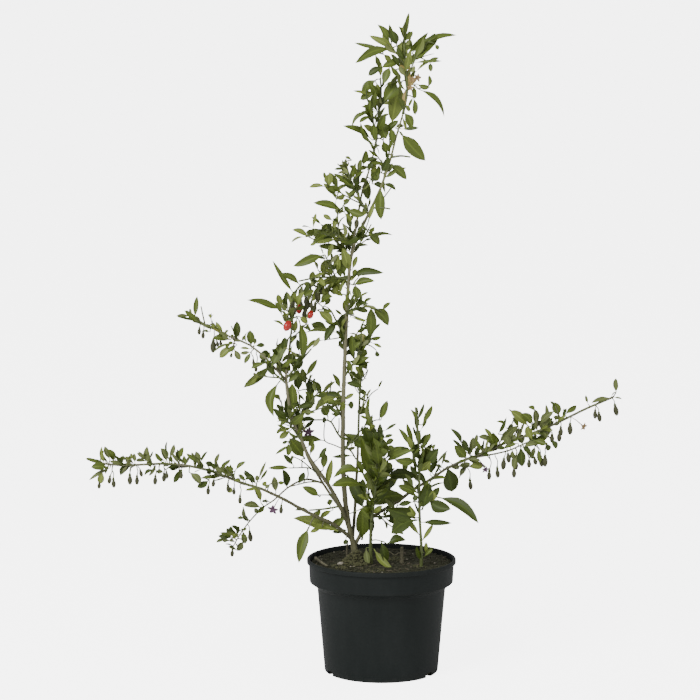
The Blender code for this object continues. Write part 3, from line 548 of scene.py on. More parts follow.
# Where the photo shows sky inside that outline or between the boughs' leaves: the left, top, right and
# bottom of each clearing
CLEARINGS = (
    (376, 384, 406, 434), (319, 343, 338, 374), (402, 128, 428, 142), (320, 290, 342, 302),
    (395, 505, 412, 530), (300, 488, 333, 512), (361, 516, 368, 534), (308, 307, 319, 321),
    (279, 321, 293, 333), (365, 57, 374, 69), (417, 64, 430, 76), (395, 140, 424, 163), (384, 188, 394, 210),
    (314, 215, 326, 231), (292, 265, 312, 281), (330, 306, 342, 320), (350, 323, 359, 334),
    (302, 351, 316, 373), (316, 374, 330, 390), (275, 327, 284, 337), (313, 342, 324, 350),
    (349, 409, 361, 436), (351, 391, 360, 404), (424, 466, 432, 480), (405, 399, 412, 409),
    (568, 384, 612, 430), (449, 451, 461, 461), (176, 301, 184, 314), (199, 309, 208, 322),
    (222, 324, 231, 334), (134, 453, 142, 460), (245, 508, 253, 516), (259, 511, 270, 519),
    (249, 519, 260, 532), (223, 549, 231, 557), (94, 453, 99, 459), (188, 459, 194, 464),
    (268, 310, 282, 319), (409, 34, 421, 41), (388, 174, 400, 183), (264, 371, 277, 380),
    (306, 334, 316, 342), (283, 268, 294, 275), (265, 341, 272, 349), (327, 210, 336, 217),
    (302, 222, 312, 230), (370, 211, 383, 224), (240, 333, 246, 339), (412, 397, 417, 407),
    (404, 412, 411, 424), (362, 58, 373, 77), (408, 88, 424, 98), (297, 382, 305, 392), (331, 385, 338, 393),
    (350, 386, 359, 395), (316, 412, 324, 418))

# Leaves that show singly, by region: root and tip in the photo's pixels, width, how far the middle stands
# above the straight line between them, or to its right where the leaf is upright, and a tone that stands out
SEEN_LEAVES = {
    "berry": (
        (298, 287, 291, 303, 4, 1), (303, 285, 300, 300, 4, -1), (315, 287, 318, 303, 5, 1),
        (322, 284, 327, 299, 5, 1), (330, 281, 337, 294, 5, 1), (308, 286, 309, 300, 4, 0),
        (340, 279, 333, 290, 5, -1), (319, 287, 312, 301, 4, 0), (349, 277, 333, 286, 3, 1),
        (346, 277, 328, 289, 2.5, 1), (343, 278, 325, 292, 2.5, 0), (340, 279, 321, 287, 2.5, 0),
        (350, 277, 338, 290, 2.5, 0), (345, 280, 340, 293, 3, 0), (336, 281, 322, 297, 3, 0),
        (330, 282, 318, 294, 3, 0), (326, 283, 314, 292, 2.5, 0), (349, 278, 347, 286, 4, 0),
        (352, 276, 356, 270, 3, 0), (340, 276, 330, 279, 4, 1)),
    "tan": (
        (405, 112, 407, 88, 3.5, 0), (407, 90, 410, 66, 3, 0), (408, 90, 417, 77, 3, 0),
        (407, 86, 413, 80, 3, 0), (405, 70, 399, 66, 2.5, 0), (405, 72, 402, 66, 2, 0)),
    "crown": (
        (412, 53, 456, 35, 6.5, 4, "mid"), (411, 64, 437, 40, 11.5, 1, "mid"), (406, 58, 428, 33, 5, 1),
        (427, 42, 435, 34, 2, 0), (435, 44, 438, 49, 3, 0), (414, 62, 441, 61, 2, 0),
        (427, 61, 438, 58, 2, 0), (416, 72, 431, 61, 1.5, 1), (430, 62, 431, 71, 3.5, 0),
        (405, 42, 409, 13, 3.5, -1), (404, 41, 399, 27, 6, 0), (405, 41, 412, 32, 4, 0),
        (407, 52, 410, 40, 6, 0), (402, 62, 401, 43, 10.5, 0, "light"), (396, 43, 378, 25, 4.5, 1),
        (397, 46, 392, 31, 7.5, 0), (395, 49, 370, 36, 6, 1), (383, 49, 355, 43, 3.5, -0.5),
        (394, 50, 356, 63, 7.5, 5, "mid"), (375, 54, 379, 66, 4, 0), (383, 54, 390, 61, 5, 0),
        (400, 62, 383, 67, 7.5, 1), (384, 67, 369, 75, 6.5, 1), (390, 66, 398, 76, 4, 0),
        (389, 67, 384, 83, 7.5, 0), (396, 60, 389, 66, 4, 0), (395, 70, 400, 79, 3.5, 0),
        (378, 79, 363, 97, 9, 2), (376, 92, 361, 99, 6.5, 1), (378, 83, 379, 90, 4, 0),
        (397, 81, 385, 100, 12.5, -1, "mid"), (401, 82, 392, 121, 15.5, 0.5, "light"),
        (417, 84, 429, 87, 4, -1.5, "mid"), (427, 88, 429, 76, 4.5, 2.5, "mid"), (414, 85, 415, 98, 4, 0),
        (418, 89, 444, 116, 6.5, 4.5), (413, 97, 415, 114, 4.5, 1), (414, 98, 409, 106, 1.5, 0),
        (405, 103, 409, 111, 3.5, 0), (405, 112, 412, 128, 7.5, 2), (404, 116, 406, 130, 2, 0),
        (401, 129, 418, 128, 3, 0, "dark"), (372, 97, 354, 91, 2, 1), (379, 98, 371, 91, 2, 0),
        (379, 109, 371, 98, 5, 1), (374, 112, 362, 107, 2.5, 1), (372, 111, 365, 105, 3, 0),
        (372, 113, 352, 127, 4, 5), (372, 116, 360, 122, 3.5, 1), (372, 140, 344, 126, 6, 1.5),
        (372, 130, 365, 127, 1.5, 0), (378, 119, 386, 138, 12, 0), (372, 122, 375, 140, 6.5, -1),
        (385, 135, 398, 121, 6, 1), (383, 140, 386, 152, 7.5, 0), (392, 145, 392, 130, 6, 0),
        (400, 132, 425, 160, 13, -1.5, "mid"), (395, 128, 403, 126, 3, 1), (374, 147, 380, 147, 2.5, 1),
        (363, 166, 366, 151, 5.5, 0), (368, 161, 377, 159, 3, 0), (381, 173, 388, 157, 6.5, -1),
        (389, 164, 406, 179, 8.5, 1.5), (386, 178, 396, 172, 2.5, 0), (371, 179, 375, 161, 4.5, 0, "light"),
        (372, 182, 378, 173, 8.5, 0), (382, 184, 395, 190, 4.5, 1), (372, 184, 382, 187, 4.5, 1),
        (381, 187, 381, 219, 9.5, -0.5, "mid"), (374, 201, 369, 219, 2.5, 0), (367, 177, 368, 199, 8, -1),
        (342, 178, 346, 159, 5, -1), (352, 160, 346, 157, 2, 0), (354, 188, 334, 174, 5, 1),
        (330, 187, 330, 174, 7.5, -1), (326, 181, 324, 173, 2, 0), (326, 187, 310, 187, 3.5, 1),
        (339, 192, 330, 188, 5, 1), (344, 212, 314, 203, 7, 2.5), (339, 189, 329, 173, 6, 0),
        (337, 196, 324, 184, 5.5, 0, "light"), (333, 221, 324, 215, 3.5, 0), (346, 209, 364, 215, 7, -1),
        (350, 187, 339, 181, 4, 1), (358, 171, 350, 166, 3.5, 0), (358, 189, 350, 196, 4, 0),
        (350, 199, 344, 205, 3.5, 0), (369, 167, 358, 170, 4, 0), (337, 200, 329, 190, 4, 0),
        (376, 181, 379, 166, 4, 0), (367, 170, 372, 163, 4, 0)),
    "upper": (
        (362, 216, 368, 208, 5.5, 0), (313, 230, 316, 214, 2.5, 0), (309, 237, 293, 230, 5, 1),
        (306, 237, 292, 242, 1.5, 2), (345, 229, 313, 243, 11.5, 3), (333, 223, 322, 233, 7.5, 1),
        (317, 243, 311, 245, 2, 0), (338, 240, 316, 243, 3, 0), (340, 239, 331, 236, 1.5, 0),
        (364, 229, 344, 245, 6.5, -3), (346, 249, 319, 246, 5.5, 1), (328, 245, 330, 255, 1, 0),
        (366, 231, 379, 244, 8, 0), (366, 239, 392, 235, 4.5, 2), (324, 256, 294, 266, 8, 0.5),
        (338, 258, 324, 278, 7.5, 6), (337, 273, 338, 255, 6.5, 0), (345, 274, 341, 260, 9, 0),
        (351, 273, 343, 249, 8, 0), (351, 277, 383, 273, 6.5, 4), (353, 285, 374, 281, 6.5, 1),
        (355, 284, 358, 298, 7.5, 0), (352, 270, 357, 257, 3.5, 0), (341, 277, 339, 268, 4, 0),
        (294, 294, 273, 261, 4, -0.5), (300, 285, 281, 274, 5.5, 2.5), (311, 284, 313, 272, 5, 0),
        (325, 272, 315, 277, 3, 0), (335, 272, 326, 270, 3.5, 0), (284, 310, 248, 300, 8, 0, "mid"),
        (282, 308, 278, 295, 4.5, 0), (284, 306, 287, 292, 3.5, 0), (283, 309, 287, 322, 5, 0),
        (285, 328, 274, 321, 1.5, 2), (317, 310, 332, 323, 8, 1), (322, 310, 331, 312, 3, 0),
        (328, 291, 342, 296, 4.5, 1), (319, 304, 332, 297, 6.5, 1), (324, 306, 330, 299, 3.5, 0),
        (328, 329, 312, 324, 8, 0, "mid"), (338, 320, 325, 341, 6.5, 1), (339, 333, 306, 332, 3.5, 1),
        (324, 339, 305, 352, 3.5, 2.5), (299, 320, 302, 356, 9, 0.5, "mid"), (301, 355, 295, 373, 4, 0.5),
        (290, 335, 272, 366, 9.5, 1, "mid"), (283, 353, 285, 338, 6, 0), (305, 323, 308, 326, 2.5, 0),
        (345, 315, 344, 301, 5, 0), (343, 332, 345, 314, 9, -1), (343, 316, 336, 310, 1.5, 0),
        (353, 309, 362, 297, 3, -1), (350, 317, 365, 321, 1.5, 0), (371, 308, 388, 325, 11, 2),
        (382, 312, 390, 303, 3, 1), (369, 339, 371, 309, 9, 0), (364, 331, 358, 331, 2.5, 0),
        (369, 340, 354, 337, 5.5, 1), (361, 342, 355, 347, 3.5, 0), (372, 343, 381, 347, 2, 0),
        (350, 349, 351, 336, 5.5, 0), (338, 346, 341, 340, 1.5, 0), (358, 349, 364, 340, 6.5, 0),
        (345, 343, 342, 325, 6.5, 0), (358, 278, 360, 270, 4.5, 0), (338, 215, 334, 228, 3.5, 0),
        (345, 213, 351, 221, 4, 0), (343, 205, 349, 213, 4.5, 0), (338, 295, 331, 290, 3.5, 0),
        (325, 290, 317, 284, 3.5, 1), (312, 290, 306, 284, 3.5, 0), (319, 282, 312, 281, 2, 0),
        (297, 318, 294, 331, 4, 0), (299, 316, 307, 323, 5, 0), (350, 282, 356, 276, 4, 0)),
    "middle": (
        (273, 358, 261, 354, 6.5, 1), (273, 363, 244, 387, 7.5, -2, "mid"),
        (280, 381, 274, 416, 8.5, -6.5, "mid"), (281, 400, 274, 396, 3.5, 1), (283, 413, 287, 397, 6.5, -1),
        (289, 420, 274, 409, 5.5, -1), (288, 423, 278, 416, 5.5, 0), (294, 413, 292, 384, 9, 0),
        (291, 417, 287, 382, 3.5, 1), (298, 371, 301, 358, 5.5, 0), (306, 378, 317, 360, 4, 0),
        (310, 379, 320, 394, 5, 2), (313, 396, 308, 381, 6.5, 0), (321, 395, 335, 382, 3, 1),
        (341, 389, 333, 374, 5, 0), (344, 382, 362, 387, 4.5, 1), (365, 378, 356, 367, 4.5, 1),
        (362, 381, 350, 372, 3, 0), (348, 361, 367, 363, 5.5, -1), (360, 358, 366, 350, 5.5, 0),
        (367, 369, 362, 361, 6.5, 0), (353, 358, 352, 335, 5.5, 0), (356, 346, 360, 342, 2, 0),
        (376, 350, 378, 356, 3.5, 0), (378, 389, 382, 381, 1, 0), (368, 397, 358, 390, 3.5, 1),
        (368, 402, 360, 398, 1.5, 0), (358, 405, 364, 413, 8.5, 0), (347, 405, 353, 405, 6.5, 0),
        (345, 400, 353, 394, 3, 0), (369, 420, 361, 416, 1.5, 0), (341, 401, 327, 394, 5.5, 3),
        (338, 397, 315, 410, 7, 2), (336, 408, 334, 401, 5.5, 0), (334, 418, 340, 410, 5.5, 0),
        (315, 404, 297, 408, 4.5, 1), (313, 412, 305, 413, 5.5, 0), (328, 417, 323, 406, 7.5, 0),
        (317, 420, 299, 420, 3, 1), (328, 420, 323, 420, 5, 0), (315, 421, 306, 427, 3, 0),
        (288, 430, 278, 425, 1.5, 0), (282, 426, 277, 433, 2, 0), (291, 444, 276, 454, 2, 0),
        (289, 441, 283, 443, 2, 0), (305, 459, 290, 439, 11.5, 0), (326, 440, 299, 439, 6, 1),
        (308, 447, 313, 440, 3.5, 0), (317, 460, 326, 448, 3.5, -1), (323, 470, 325, 454, 5.5, 0),
        (294, 466, 284, 455, 3.5, 0), (291, 462, 292, 456, 1, 0), (291, 468, 269, 468, 3.5, 0),
        (320, 497, 303, 487, 6.5, 0.5), (330, 485, 332, 460, 5, -2), (346, 434, 364, 445, 6.5, 1),
        (353, 456, 333, 457, 2.5, 1), (381, 420, 386, 402, 5.5, 0), (299, 391, 297, 377, 6.5, 0),
        (288, 384, 299, 371, 5.5, 0), (291, 430, 280, 438, 5, 0), (288, 443, 288, 455, 5, 0),
        (310, 455, 312, 442, 4.5, 0), (291, 373, 284, 363, 5.5, 0), (286, 376, 281, 363, 4.5, 0),
        (295, 366, 291, 354, 5.5, 0), (306, 382, 302, 369, 4.5, 0), (299, 366, 305, 353, 3, 0)),
    "centre": (
        (379, 420, 387, 401, 5.5, 0), (384, 431, 396, 424, 1.5, 0), (384, 437, 392, 435, 2.5, 0),
        (385, 444, 393, 440, 4.5, 0), (385, 450, 394, 448, 4, 1), (385, 459, 404, 447, 5, 2),
        (384, 463, 414, 450, 4.5, 2), (362, 445, 344, 435, 5.5, 1), (371, 448, 365, 427, 8, 0),
        (376, 444, 373, 426, 7, 0), (379, 444, 380, 424, 4.5, 0), (373, 467, 362, 439, 10.5, 0),
        (379, 467, 374, 439, 10, 0), (384, 459, 383, 439, 6.5, 0), (370, 478, 361, 447, 7, 0),
        (376, 486, 371, 456, 11, 0), (382, 482, 380, 455, 7, 0), (376, 493, 374, 478, 9, 0),
        (364, 475, 334, 478, 9.5, 7, "mid"), (347, 475, 362, 506, 12, 2, "dark"),
        (366, 487, 332, 486, 8, 4, "mid"), (384, 477, 418, 478, 10, 3, "dark"),
        (399, 477, 386, 489, 8, 1, "dark"), (413, 502, 401, 505, 3, 0, "dark"),
        (384, 480, 389, 490, 11.5, 0), (391, 471, 389, 463, 3, 0), (403, 473, 411, 459, 5.5, 0),
        (411, 460, 400, 460, 1.5, 0), (416, 476, 413, 451, 2, 0), (364, 506, 403, 496, 13.5, 4, "mid"),
        (430, 475, 437, 458, 4, 0), (433, 474, 428, 465, 2.5, 0), (411, 447, 399, 429, 4, 0),
        (414, 445, 407, 424, 3, 0), (416, 421, 411, 410, 2, 0), (416, 419, 417, 408, 2, 0),
        (418, 421, 424, 404, 2, 0), (422, 425, 432, 406, 4, 0), (419, 445, 419, 431, 4, 0),
        (423, 447, 430, 434, 3.5, 0), (421, 451, 413, 447, 4.5, 0), (420, 469, 432, 444, 9, 0),
        (424, 467, 438, 449, 8.5, 0), (432, 451, 435, 445, 2, 0), (413, 451, 402, 448, 3, 0),
        (436, 465, 447, 451, 1, 0), (420, 510, 428, 481, 7, 0), (429, 501, 439, 488, 4.5, 0),
        (424, 487, 431, 485, 1, 0), (377, 430, 383, 439, 4.5, 0), (428, 499, 450, 509, 11, -3, "dark"),
        (421, 472, 430, 462, 5, 0), (413, 504, 417, 496, 4, 0), (364, 474, 357, 462, 3.5, 0),
        (436, 497, 478, 523, 9.5, 5.5, "dark")),
    "base": (
        (333, 510, 321, 517, 3.5, 1), (338, 531, 294, 518, 11.5, 0, "light"),
        (347, 517, 330, 530, 7.5, 0, "mid"), (347, 531, 333, 532, 3.5, 0),
        (309, 527, 299, 562, 9.5, 2, "mid"), (322, 527, 311, 532, 3, 0), (330, 506, 329, 500, 5, 0),
        (362, 540, 363, 508, 12, 0, "mid"), (369, 539, 369, 509, 5.5, 0), (346, 538, 345, 544, 3, 0),
        (381, 541, 385, 563, 8, 0, "dark"), (387, 544, 405, 540, 8, 2),
        (417, 520, 392, 533, 13, 3.5, "dark"), (415, 518, 388, 509, 12.5, 0, "dark"),
        (404, 519, 389, 521, 7, 0, "dark"), (415, 520, 410, 506, 7, 0), (420, 537, 405, 516, 3.5, 0),
        (422, 543, 433, 524, 3, 0), (421, 522, 451, 523, 4.5, 0.5, "dark"), (422, 510, 429, 484, 10.5, 0),
        (427, 504, 438, 488, 6, 0), (366, 548, 368, 564, 5, 0, "greyed"),
        (374, 549, 392, 569, 5.5, -2, "light"), (422, 562, 417, 547, 3.5, 0), (424, 557, 432, 549, 3, 0),
        (425, 553, 426, 543, 2.5, 0), (340, 520, 348, 508, 7, 0), (362, 504, 353, 496, 7, 0),
        (401, 524, 395, 516, 8, 0)),
    "low_left": (
        (100, 463, 85, 459, 2.5, 0), (104, 463, 102, 447, 3, -1), (110, 460, 105, 447, 4, 0),
        (114, 462, 108, 450, 5, 1), (101, 456, 101, 450, 3, 0), (108, 467, 92, 467, 6.5, 0.5),
        (110, 468, 88, 480, 2.5, 1), (103, 471, 100, 483, 5.5, 0), (127, 461, 120, 458, 2.5, 1),
        (121, 464, 122, 457, 3, 0), (132, 465, 121, 475, 6.5, 2), (132, 463, 126, 457, 3.5, 0),
        (135, 463, 134, 454, 2.5, 0), (132, 460, 131, 454, 1.5, 0), (148, 464, 147, 447, 6.5, 0),
        (146, 459, 139, 452, 1.5, 0), (150, 459, 153, 452, 1.5, 0), (151, 468, 149, 461, 4.5, 0),
        (154, 469, 145, 475, 3, 1), (159, 468, 159, 473, 5.5, 0), (167, 462, 161, 449, 6.5, 1),
        (167, 457, 167, 442, 1.5, 0), (169, 458, 174, 445, 3, -1), (165, 461, 158, 458, 2, 0),
        (179, 461, 177, 450, 3, 0), (179, 459, 183, 448, 4, 0), (180, 463, 171, 452, 1.5, 0),
        (182, 463, 184, 457, 2.5, 0), (182, 467, 170, 468, 5.5, 1), (186, 466, 189, 457, 1.5, 0),
        (182, 468, 174, 482, 4.5, 0), (199, 465, 196, 452, 5.5, 0), (198, 464, 187, 454, 2.5, 1),
        (195, 459, 192, 453, 1.5, 0), (200, 463, 207, 452, 1.5, 0), (189, 472, 200, 483, 6.5, 1),
        (200, 478, 215, 478, 2.5, 1), (209, 480, 198, 487, 5.5, -1), (214, 466, 219, 454, 2.5, 0),
        (215, 468, 206, 463, 4, 1), (217, 470, 213, 464, 4, 0), (206, 468, 210, 473, 3.5, 0),
        (220, 470, 230, 460, 2.5, 1), (233, 473, 227, 466, 5.5, 1), (235, 471, 245, 462, 3.5, 1),
        (234, 477, 229, 473, 3, 0), (227, 486, 231, 492, 4.5, 0), (257, 485, 244, 473, 5, 1),
        (244, 480, 251, 477, 2.5, 0), (246, 481, 239, 475, 3, 0), (257, 482, 257, 476, 3.5, 0),
        (259, 482, 267, 470, 1.5, 0), (258, 480, 266, 462, 1.5, 0), (266, 487, 263, 483, 4.5, 0),
        (276, 493, 274, 477, 5, 0), (270, 484, 266, 488, 2.5, 0), (277, 483, 283, 483, 2.5, 0),
        (286, 487, 283, 470, 7.5, 0), (298, 486, 304, 473, 5, 0), (261, 503, 253, 486, 5.5, 1),
        (262, 507, 244, 505, 5.5, 2), (243, 507, 243, 516, 2, 0), (248, 521, 244, 515, 3.5, 0),
        (246, 518, 238, 518, 1.5, 0), (234, 536, 231, 527, 5.5, 0), (233, 536, 221, 533, 2.5, 1),
        (233, 538, 219, 536, 3, 0), (234, 536, 227, 529, 3.5, 0), (226, 539, 217, 542, 2.5, 0),
        (229, 541, 223, 540, 2.5, 0), (237, 535, 239, 527, 2.5, 0), (237, 536, 233, 534, 5, 0),
        (244, 531, 245, 543, 4.5, 0), (244, 541, 237, 550, 5.5, 0), (236, 550, 229, 547, 2.5, 0),
        (226, 473, 216, 468, 3.5, 0), (204, 469, 198, 462, 3.5, 0)),
    "right": (
        (462, 446, 451, 429, 3.5, 2), (466, 458, 455, 446, 7.5, 0), (464, 452, 453, 440, 2, 1),
        (472, 452, 473, 438, 6.5, 0), (475, 448, 477, 435, 2.5, 0), (483, 452, 476, 440, 3, 0),
        (491, 443, 479, 437, 4.5, 2), (492, 440, 485, 429, 2.5, 1), (498, 434, 506, 418, 2, -1),
        (506, 428, 497, 422, 2.5, 2), (495, 446, 490, 435, 6.5, 0), (500, 443, 493, 433, 5, 0),
        (499, 443, 518, 426, 7.5, 1), (507, 437, 512, 424, 4, 0), (529, 427, 511, 411, 8, 1),
        (515, 417, 509, 410, 1.5, 0), (531, 425, 522, 414, 6.5, 2), (535, 426, 535, 410, 6.5, 0),
        (535, 412, 529, 407, 3, 2), (540, 426, 553, 412, 5, 2), (541, 428, 549, 416, 4, 0),
        (547, 426, 546, 405, 3, 0), (551, 426, 543, 434, 8, 0), (559, 417, 555, 403, 7.5, 0),
        (555, 406, 551, 402, 1.5, 0), (561, 418, 554, 417, 2.5, 0), (562, 417, 566, 409, 2, 0),
        (565, 415, 576, 406, 4.5, 1), (588, 404, 586, 396, 1.5, 0), (611, 398, 592, 403, 5, 1),
        (616, 393, 616, 379, 4, 0), (613, 398, 622, 399, 1, 0), (447, 466, 452, 491, 14, 0, "dark"),
        (459, 478, 466, 467, 5, 0), (467, 467, 482, 467, 6, 1), (519, 428, 513, 418, 4, 0),
        (441, 467, 446, 452, 1, 0), (451, 463, 444, 460, 2, 0), (443, 468, 437, 465, 2, 0),
        (466, 461, 479, 461, 2.5, 1), (486, 454, 497, 450, 3, 0), (521, 446, 522, 466, 7.5, 0),
        (517, 452, 514, 469, 6, 0), (526, 451, 533, 458, 4, 1), (535, 446, 532, 455, 3.5, 0),
        (538, 448, 540, 462, 3.5, 0), (551, 440, 556, 448, 4.5, 1), (547, 443, 548, 450, 4.5, 0),
        (512, 450, 513, 458, 3.5, 0), (539, 432, 547, 437, 6.5, 2), (527, 434, 538, 443, 6.5, 0),
        (516, 432, 522, 443, 8, 0), (507, 448, 498, 449, 3.5, 0), (480, 455, 490, 447, 4, 0),
        (489, 450, 498, 440, 6.5, 0), (507, 443, 516, 437, 6.5, 0), (532, 440, 527, 427, 6.5, 0),
        (544, 432, 538, 421, 5, 0), (470, 458, 486, 467, 2, 0), (510, 446, 506, 437, 6, 0),
        (549, 437, 537, 441, 7, 0), (541, 443, 525, 446, 4, 0), (533, 440, 546, 444, 5, 0),
        (518, 443, 505, 448, 5, 0), (469, 454, 463, 440, 4.5, 0), (456, 467, 470, 464, 4, 0),
        (522, 447, 530, 452, 4.5, 0)),
    "upper_left": (
        (195, 316, 197, 297, 4, 0), (200, 323, 185, 311, 4.5, 0), (198, 322, 178, 317, 2, -1),
        (212, 330, 206, 325, 2.5, 0), (210, 332, 204, 331, 2, 0), (213, 330, 213, 325, 2.5, 0),
        (219, 332, 220, 328, 3.5, 0), (219, 331, 215, 328, 2.5, 0), (231, 340, 214, 338, 6, 1),
        (229, 340, 223, 335, 3.5, 0), (236, 341, 237, 322, 6.5, 0), (233, 340, 232, 335, 2.5, 0),
        (234, 343, 213, 353, 1.5, 2), (233, 346, 220, 357, 7, 0), (231, 344, 226, 347, 2, 0),
        (232, 352, 231, 357, 1.5, 0), (234, 349, 240, 359, 4.5, 0), (237, 345, 229, 352, 4.5, 0),
        (234, 343, 229, 343, 2, 0), (251, 346, 250, 331, 6, 0), (254, 345, 255, 339, 2.5, 0),
        (255, 346, 264, 345, 3.5, 0), (251, 349, 241, 348, 1.5, 0), (251, 352, 241, 353, 2.5, 0),
        (251, 353, 245, 363, 3.5, 0), (263, 358, 263, 363, 4, 0), (268, 358, 260, 355, 6, 0),
        (266, 364, 252, 368, 4, 1), (242, 341, 245, 336, 2, 0), (224, 335, 228, 331, 2, 0)),
}
# The tones of each region, and by how many pixels its leaves are drawn wider than they show; the centre's
# darker tones are painted shade
SEEN_LOOK = {"crown": ("fresh", 1.3), "upper": ("fresh", 1.3), "berry": ("young", 1.2),
             "middle": ("mixed", 1.4), "centre": ("painted_shade", 1.8), "base": ("mixed", 1.6),
             "low_left": ("bough", 1.5), "right": ("bough", 1.5), "upper_left": ("bough", 1.5),
             "tan": ("withered", 1.4)}
# How many pixels further than it shows a leaf's thin tip reaches
TIP_REACH = 0.9

# Twigs that show singly: their radius in millimetres and their path in the photo's pixels
SEEN_TWIGS = (
    (1.2, ((348, 276), (337, 279), (327, 282), (319, 287), (311, 284), (303, 284), (299, 287), (294, 294),
           (290, 306))),
    (0.7, ((350, 313), (357, 308), (366, 307), (377, 309))),
    (0.7, ((350, 315), (365, 320))),
    (1.0, ((343, 440), (338, 434), (331, 422), (324, 420), (313, 420), (300, 421))),
    (0.7, ((342, 448), (334, 445), (325, 441), (324, 431), (325, 422))),
    (0.7, ((337, 435), (339, 428), (339, 418))),
    (1.0, ((345, 445), (351, 451), (356, 459), (362, 463))),
    (0.8, ((316, 474), (309, 468), (289, 468))),
    (0.7, ((311, 468), (302, 461), (292, 456))),
    (0.7, ((302, 468), (302, 459))),
    (0.8, ((318, 483), (309, 482), (300, 484), (289, 487))),
    (0.7, ((307, 468), (308, 476), (303, 483))),
    (0.7, ((341, 338), (332, 339), (324, 340))),
    (0.7, ((336, 496), (328, 495), (317, 495))),
    (0.8, ((413, 491), (406, 490), (401, 485))),
    (0.7, ((405, 490), (404, 480))),
    (1.0, ((470, 460), (489, 455), (507, 451), (517, 447), (530, 441))),
    (0.6, ((349, 515), (361, 509), (371, 502))),
    (0.7, ((372, 212), (369, 219), (366, 228))),
)

# Hanging fruits that show singly: where the stalk leaves the twig, the lowest point, and the fruit's length
SEEN_FRUITS = (
    (100, 475, 99, 489, 6.5), (112, 470, 109, 484, 7.5), (113, 470, 114, 488, 8.5), (130, 466, 130, 485, 10),
    (137, 468, 137, 485, 8.5), (138, 467, 142, 477, 7), (156, 470, 155, 485, 8.5), (164, 468, 164, 482, 8.5),
    (166, 470, 167, 479, 7), (179, 470, 176, 482, 7.5), (182, 470, 181, 479, 7), (208, 481, 208, 495, 8),
    (215, 476, 213, 487, 7), (229, 481, 228, 492, 7), (234, 483, 234, 495, 6.5), (240, 486, 240, 504, 7.5),
    (281, 500, 281, 514, 8), (249, 525, 251, 542, 10.5), (232, 547, 232, 557, 7.5),
    (466, 467, 471, 490, 9.5), (490, 458, 489, 480, 9), (495, 456, 498, 478, 9.5),
    (505, 453, 503, 470, 11.5), (508, 452, 509, 463, 10.5), (514, 466, 514, 478, 9.5),
    (516, 455, 516, 470, 9.5), (529, 458, 529, 468, 9), (533, 456, 536, 465, 8.5),
    (538, 447, 542, 467, 10.5), (545, 450, 545, 467, 11.5), (561, 423, 559, 442, 10),
    (561, 421, 561, 436, 9), (571, 418, 570, 435, 11.5), (596, 406, 595, 419, 9), (597, 407, 600, 422, 9.5),
    (613, 399, 617, 416, 11.5), (552, 432, 552, 443, 9.5), (552, 441, 556, 448, 6.5),
    (199, 325, 199, 335, 7), (203, 326, 203, 339, 7), (214, 332, 213, 353, 13), (216, 340, 218, 347, 6),
    (220, 339, 221, 346, 5.5), (252, 355, 254, 366, 6), (256, 353, 256, 372, 6), (295, 295, 290, 314, 10),
    (306, 284, 304, 320, 10.5), (310, 288, 307, 310, 11), (312, 295, 311, 309, 7.5),
    (308, 293, 305, 314, 8.5), (321, 286, 316, 298, 7.5), (325, 286, 321, 295, 6.5),
    (334, 281, 328, 293, 7.5), (294, 305, 295, 314, 6.5), (318, 284, 318, 302, 9), (324, 283, 323, 303, 9),
    (329, 281, 328, 300, 8), (301, 286, 301, 311, 10.5), (305, 285, 306, 306, 9), (333, 280, 334, 292, 7),
    (296, 290, 292, 309, 10), (318, 290, 314, 313, 9))
RIPE_FRUITS = ((299, 290, 299, 314, 11), (317, 303, 309, 319, 10.5), (297, 316, 285, 331, 13))

# Flowers that show singly: where the stalk leaves the twig, the middle of the flower, and a petal's length
OPEN_FLOWERS = ((279, 498, 273.5, 508.5, 6.2), (304, 424, 308, 431, 6.5), (303, 423, 303, 428, 4.0),
                (477, 459, 485, 469, 4.4))
WITHERED_FLOWERS = ((407, 84, 412, 80, 4.4), (409, 80, 417, 78, 4.6), (406, 90, 410, 88, 3.8),
                    (303, 426, 299, 431, 3.4), (571, 417, 583, 426, 4.6))


def smooth_path(points, step):
    """Points about a step apart on a smooth curve through the given ones."""
    knots = [Vector(p) for p in points]
    ends = [knots[0] * 2 - knots[1], *knots, knots[-1] * 2 - knots[-2]]
    path = [knots[0]]
    for before, start, end, after in zip(ends, ends[1:], ends[2:], ends[3:]):
        count = max(1, round((end - start).length / step))
        for i in range(1, count + 1):
            t = i / count
            path.append(0.5 * (2 * start + (end - before) * t
                               + (2 * before - 5 * start + 4 * end - after) * t ** 2
                               + (3 * start - before - 3 * end + after) * t ** 3))
    return path


def photo_place(point):
    """Where a point shows in the photo, in its pixels."""
    away = Vector(point) - Vector(CAMERA_PLACE)
    depth = away.y * math.cos(CAMERA_PITCH) - away.z * math.sin(CAMERA_PITCH)
    rise = away.y * math.sin(CAMERA_PITCH) + away.z * math.cos(CAMERA_PITCH)
    return Vector((PHOTO_MIDDLE + FOCAL_PIXELS * away.x / depth, PHOTO_MIDDLE - FOCAL_PIXELS * rise / depth))


def photo_point(x, y, depth):
    """The point at a depth, as a Y in metres, that shows at a pixel of the photo."""
    level, down = math.cos(CAMERA_PITCH), math.sin(CAMERA_PITCH)
    side, rise = (x - PHOTO_MIDDLE) / FOCAL_PIXELS, (PHOTO_MIDDLE - y) / FOCAL_PIXELS
    way = Vector((side, level + rise * down, rise * level - down))
    return Vector(CAMERA_PLACE) + way * ((depth - CAMERA_PLACE[1]) / way.y)


def path_length(path):
    return sum((b - a).length for a, b in zip(path, path[1:]))


def along_path(path, share):
    """The point at a share of a path's length, and the direction there."""
    left = share * path_length(path)
    for a, b in zip(path, path[1:]):
        run = (b - a).length
        if left <= run:
            return a + (b - a) * (left / run), (b - a).normalized()
        left -= run
    return path[-1].copy(), (path[-1] - path[-2]).normalized()


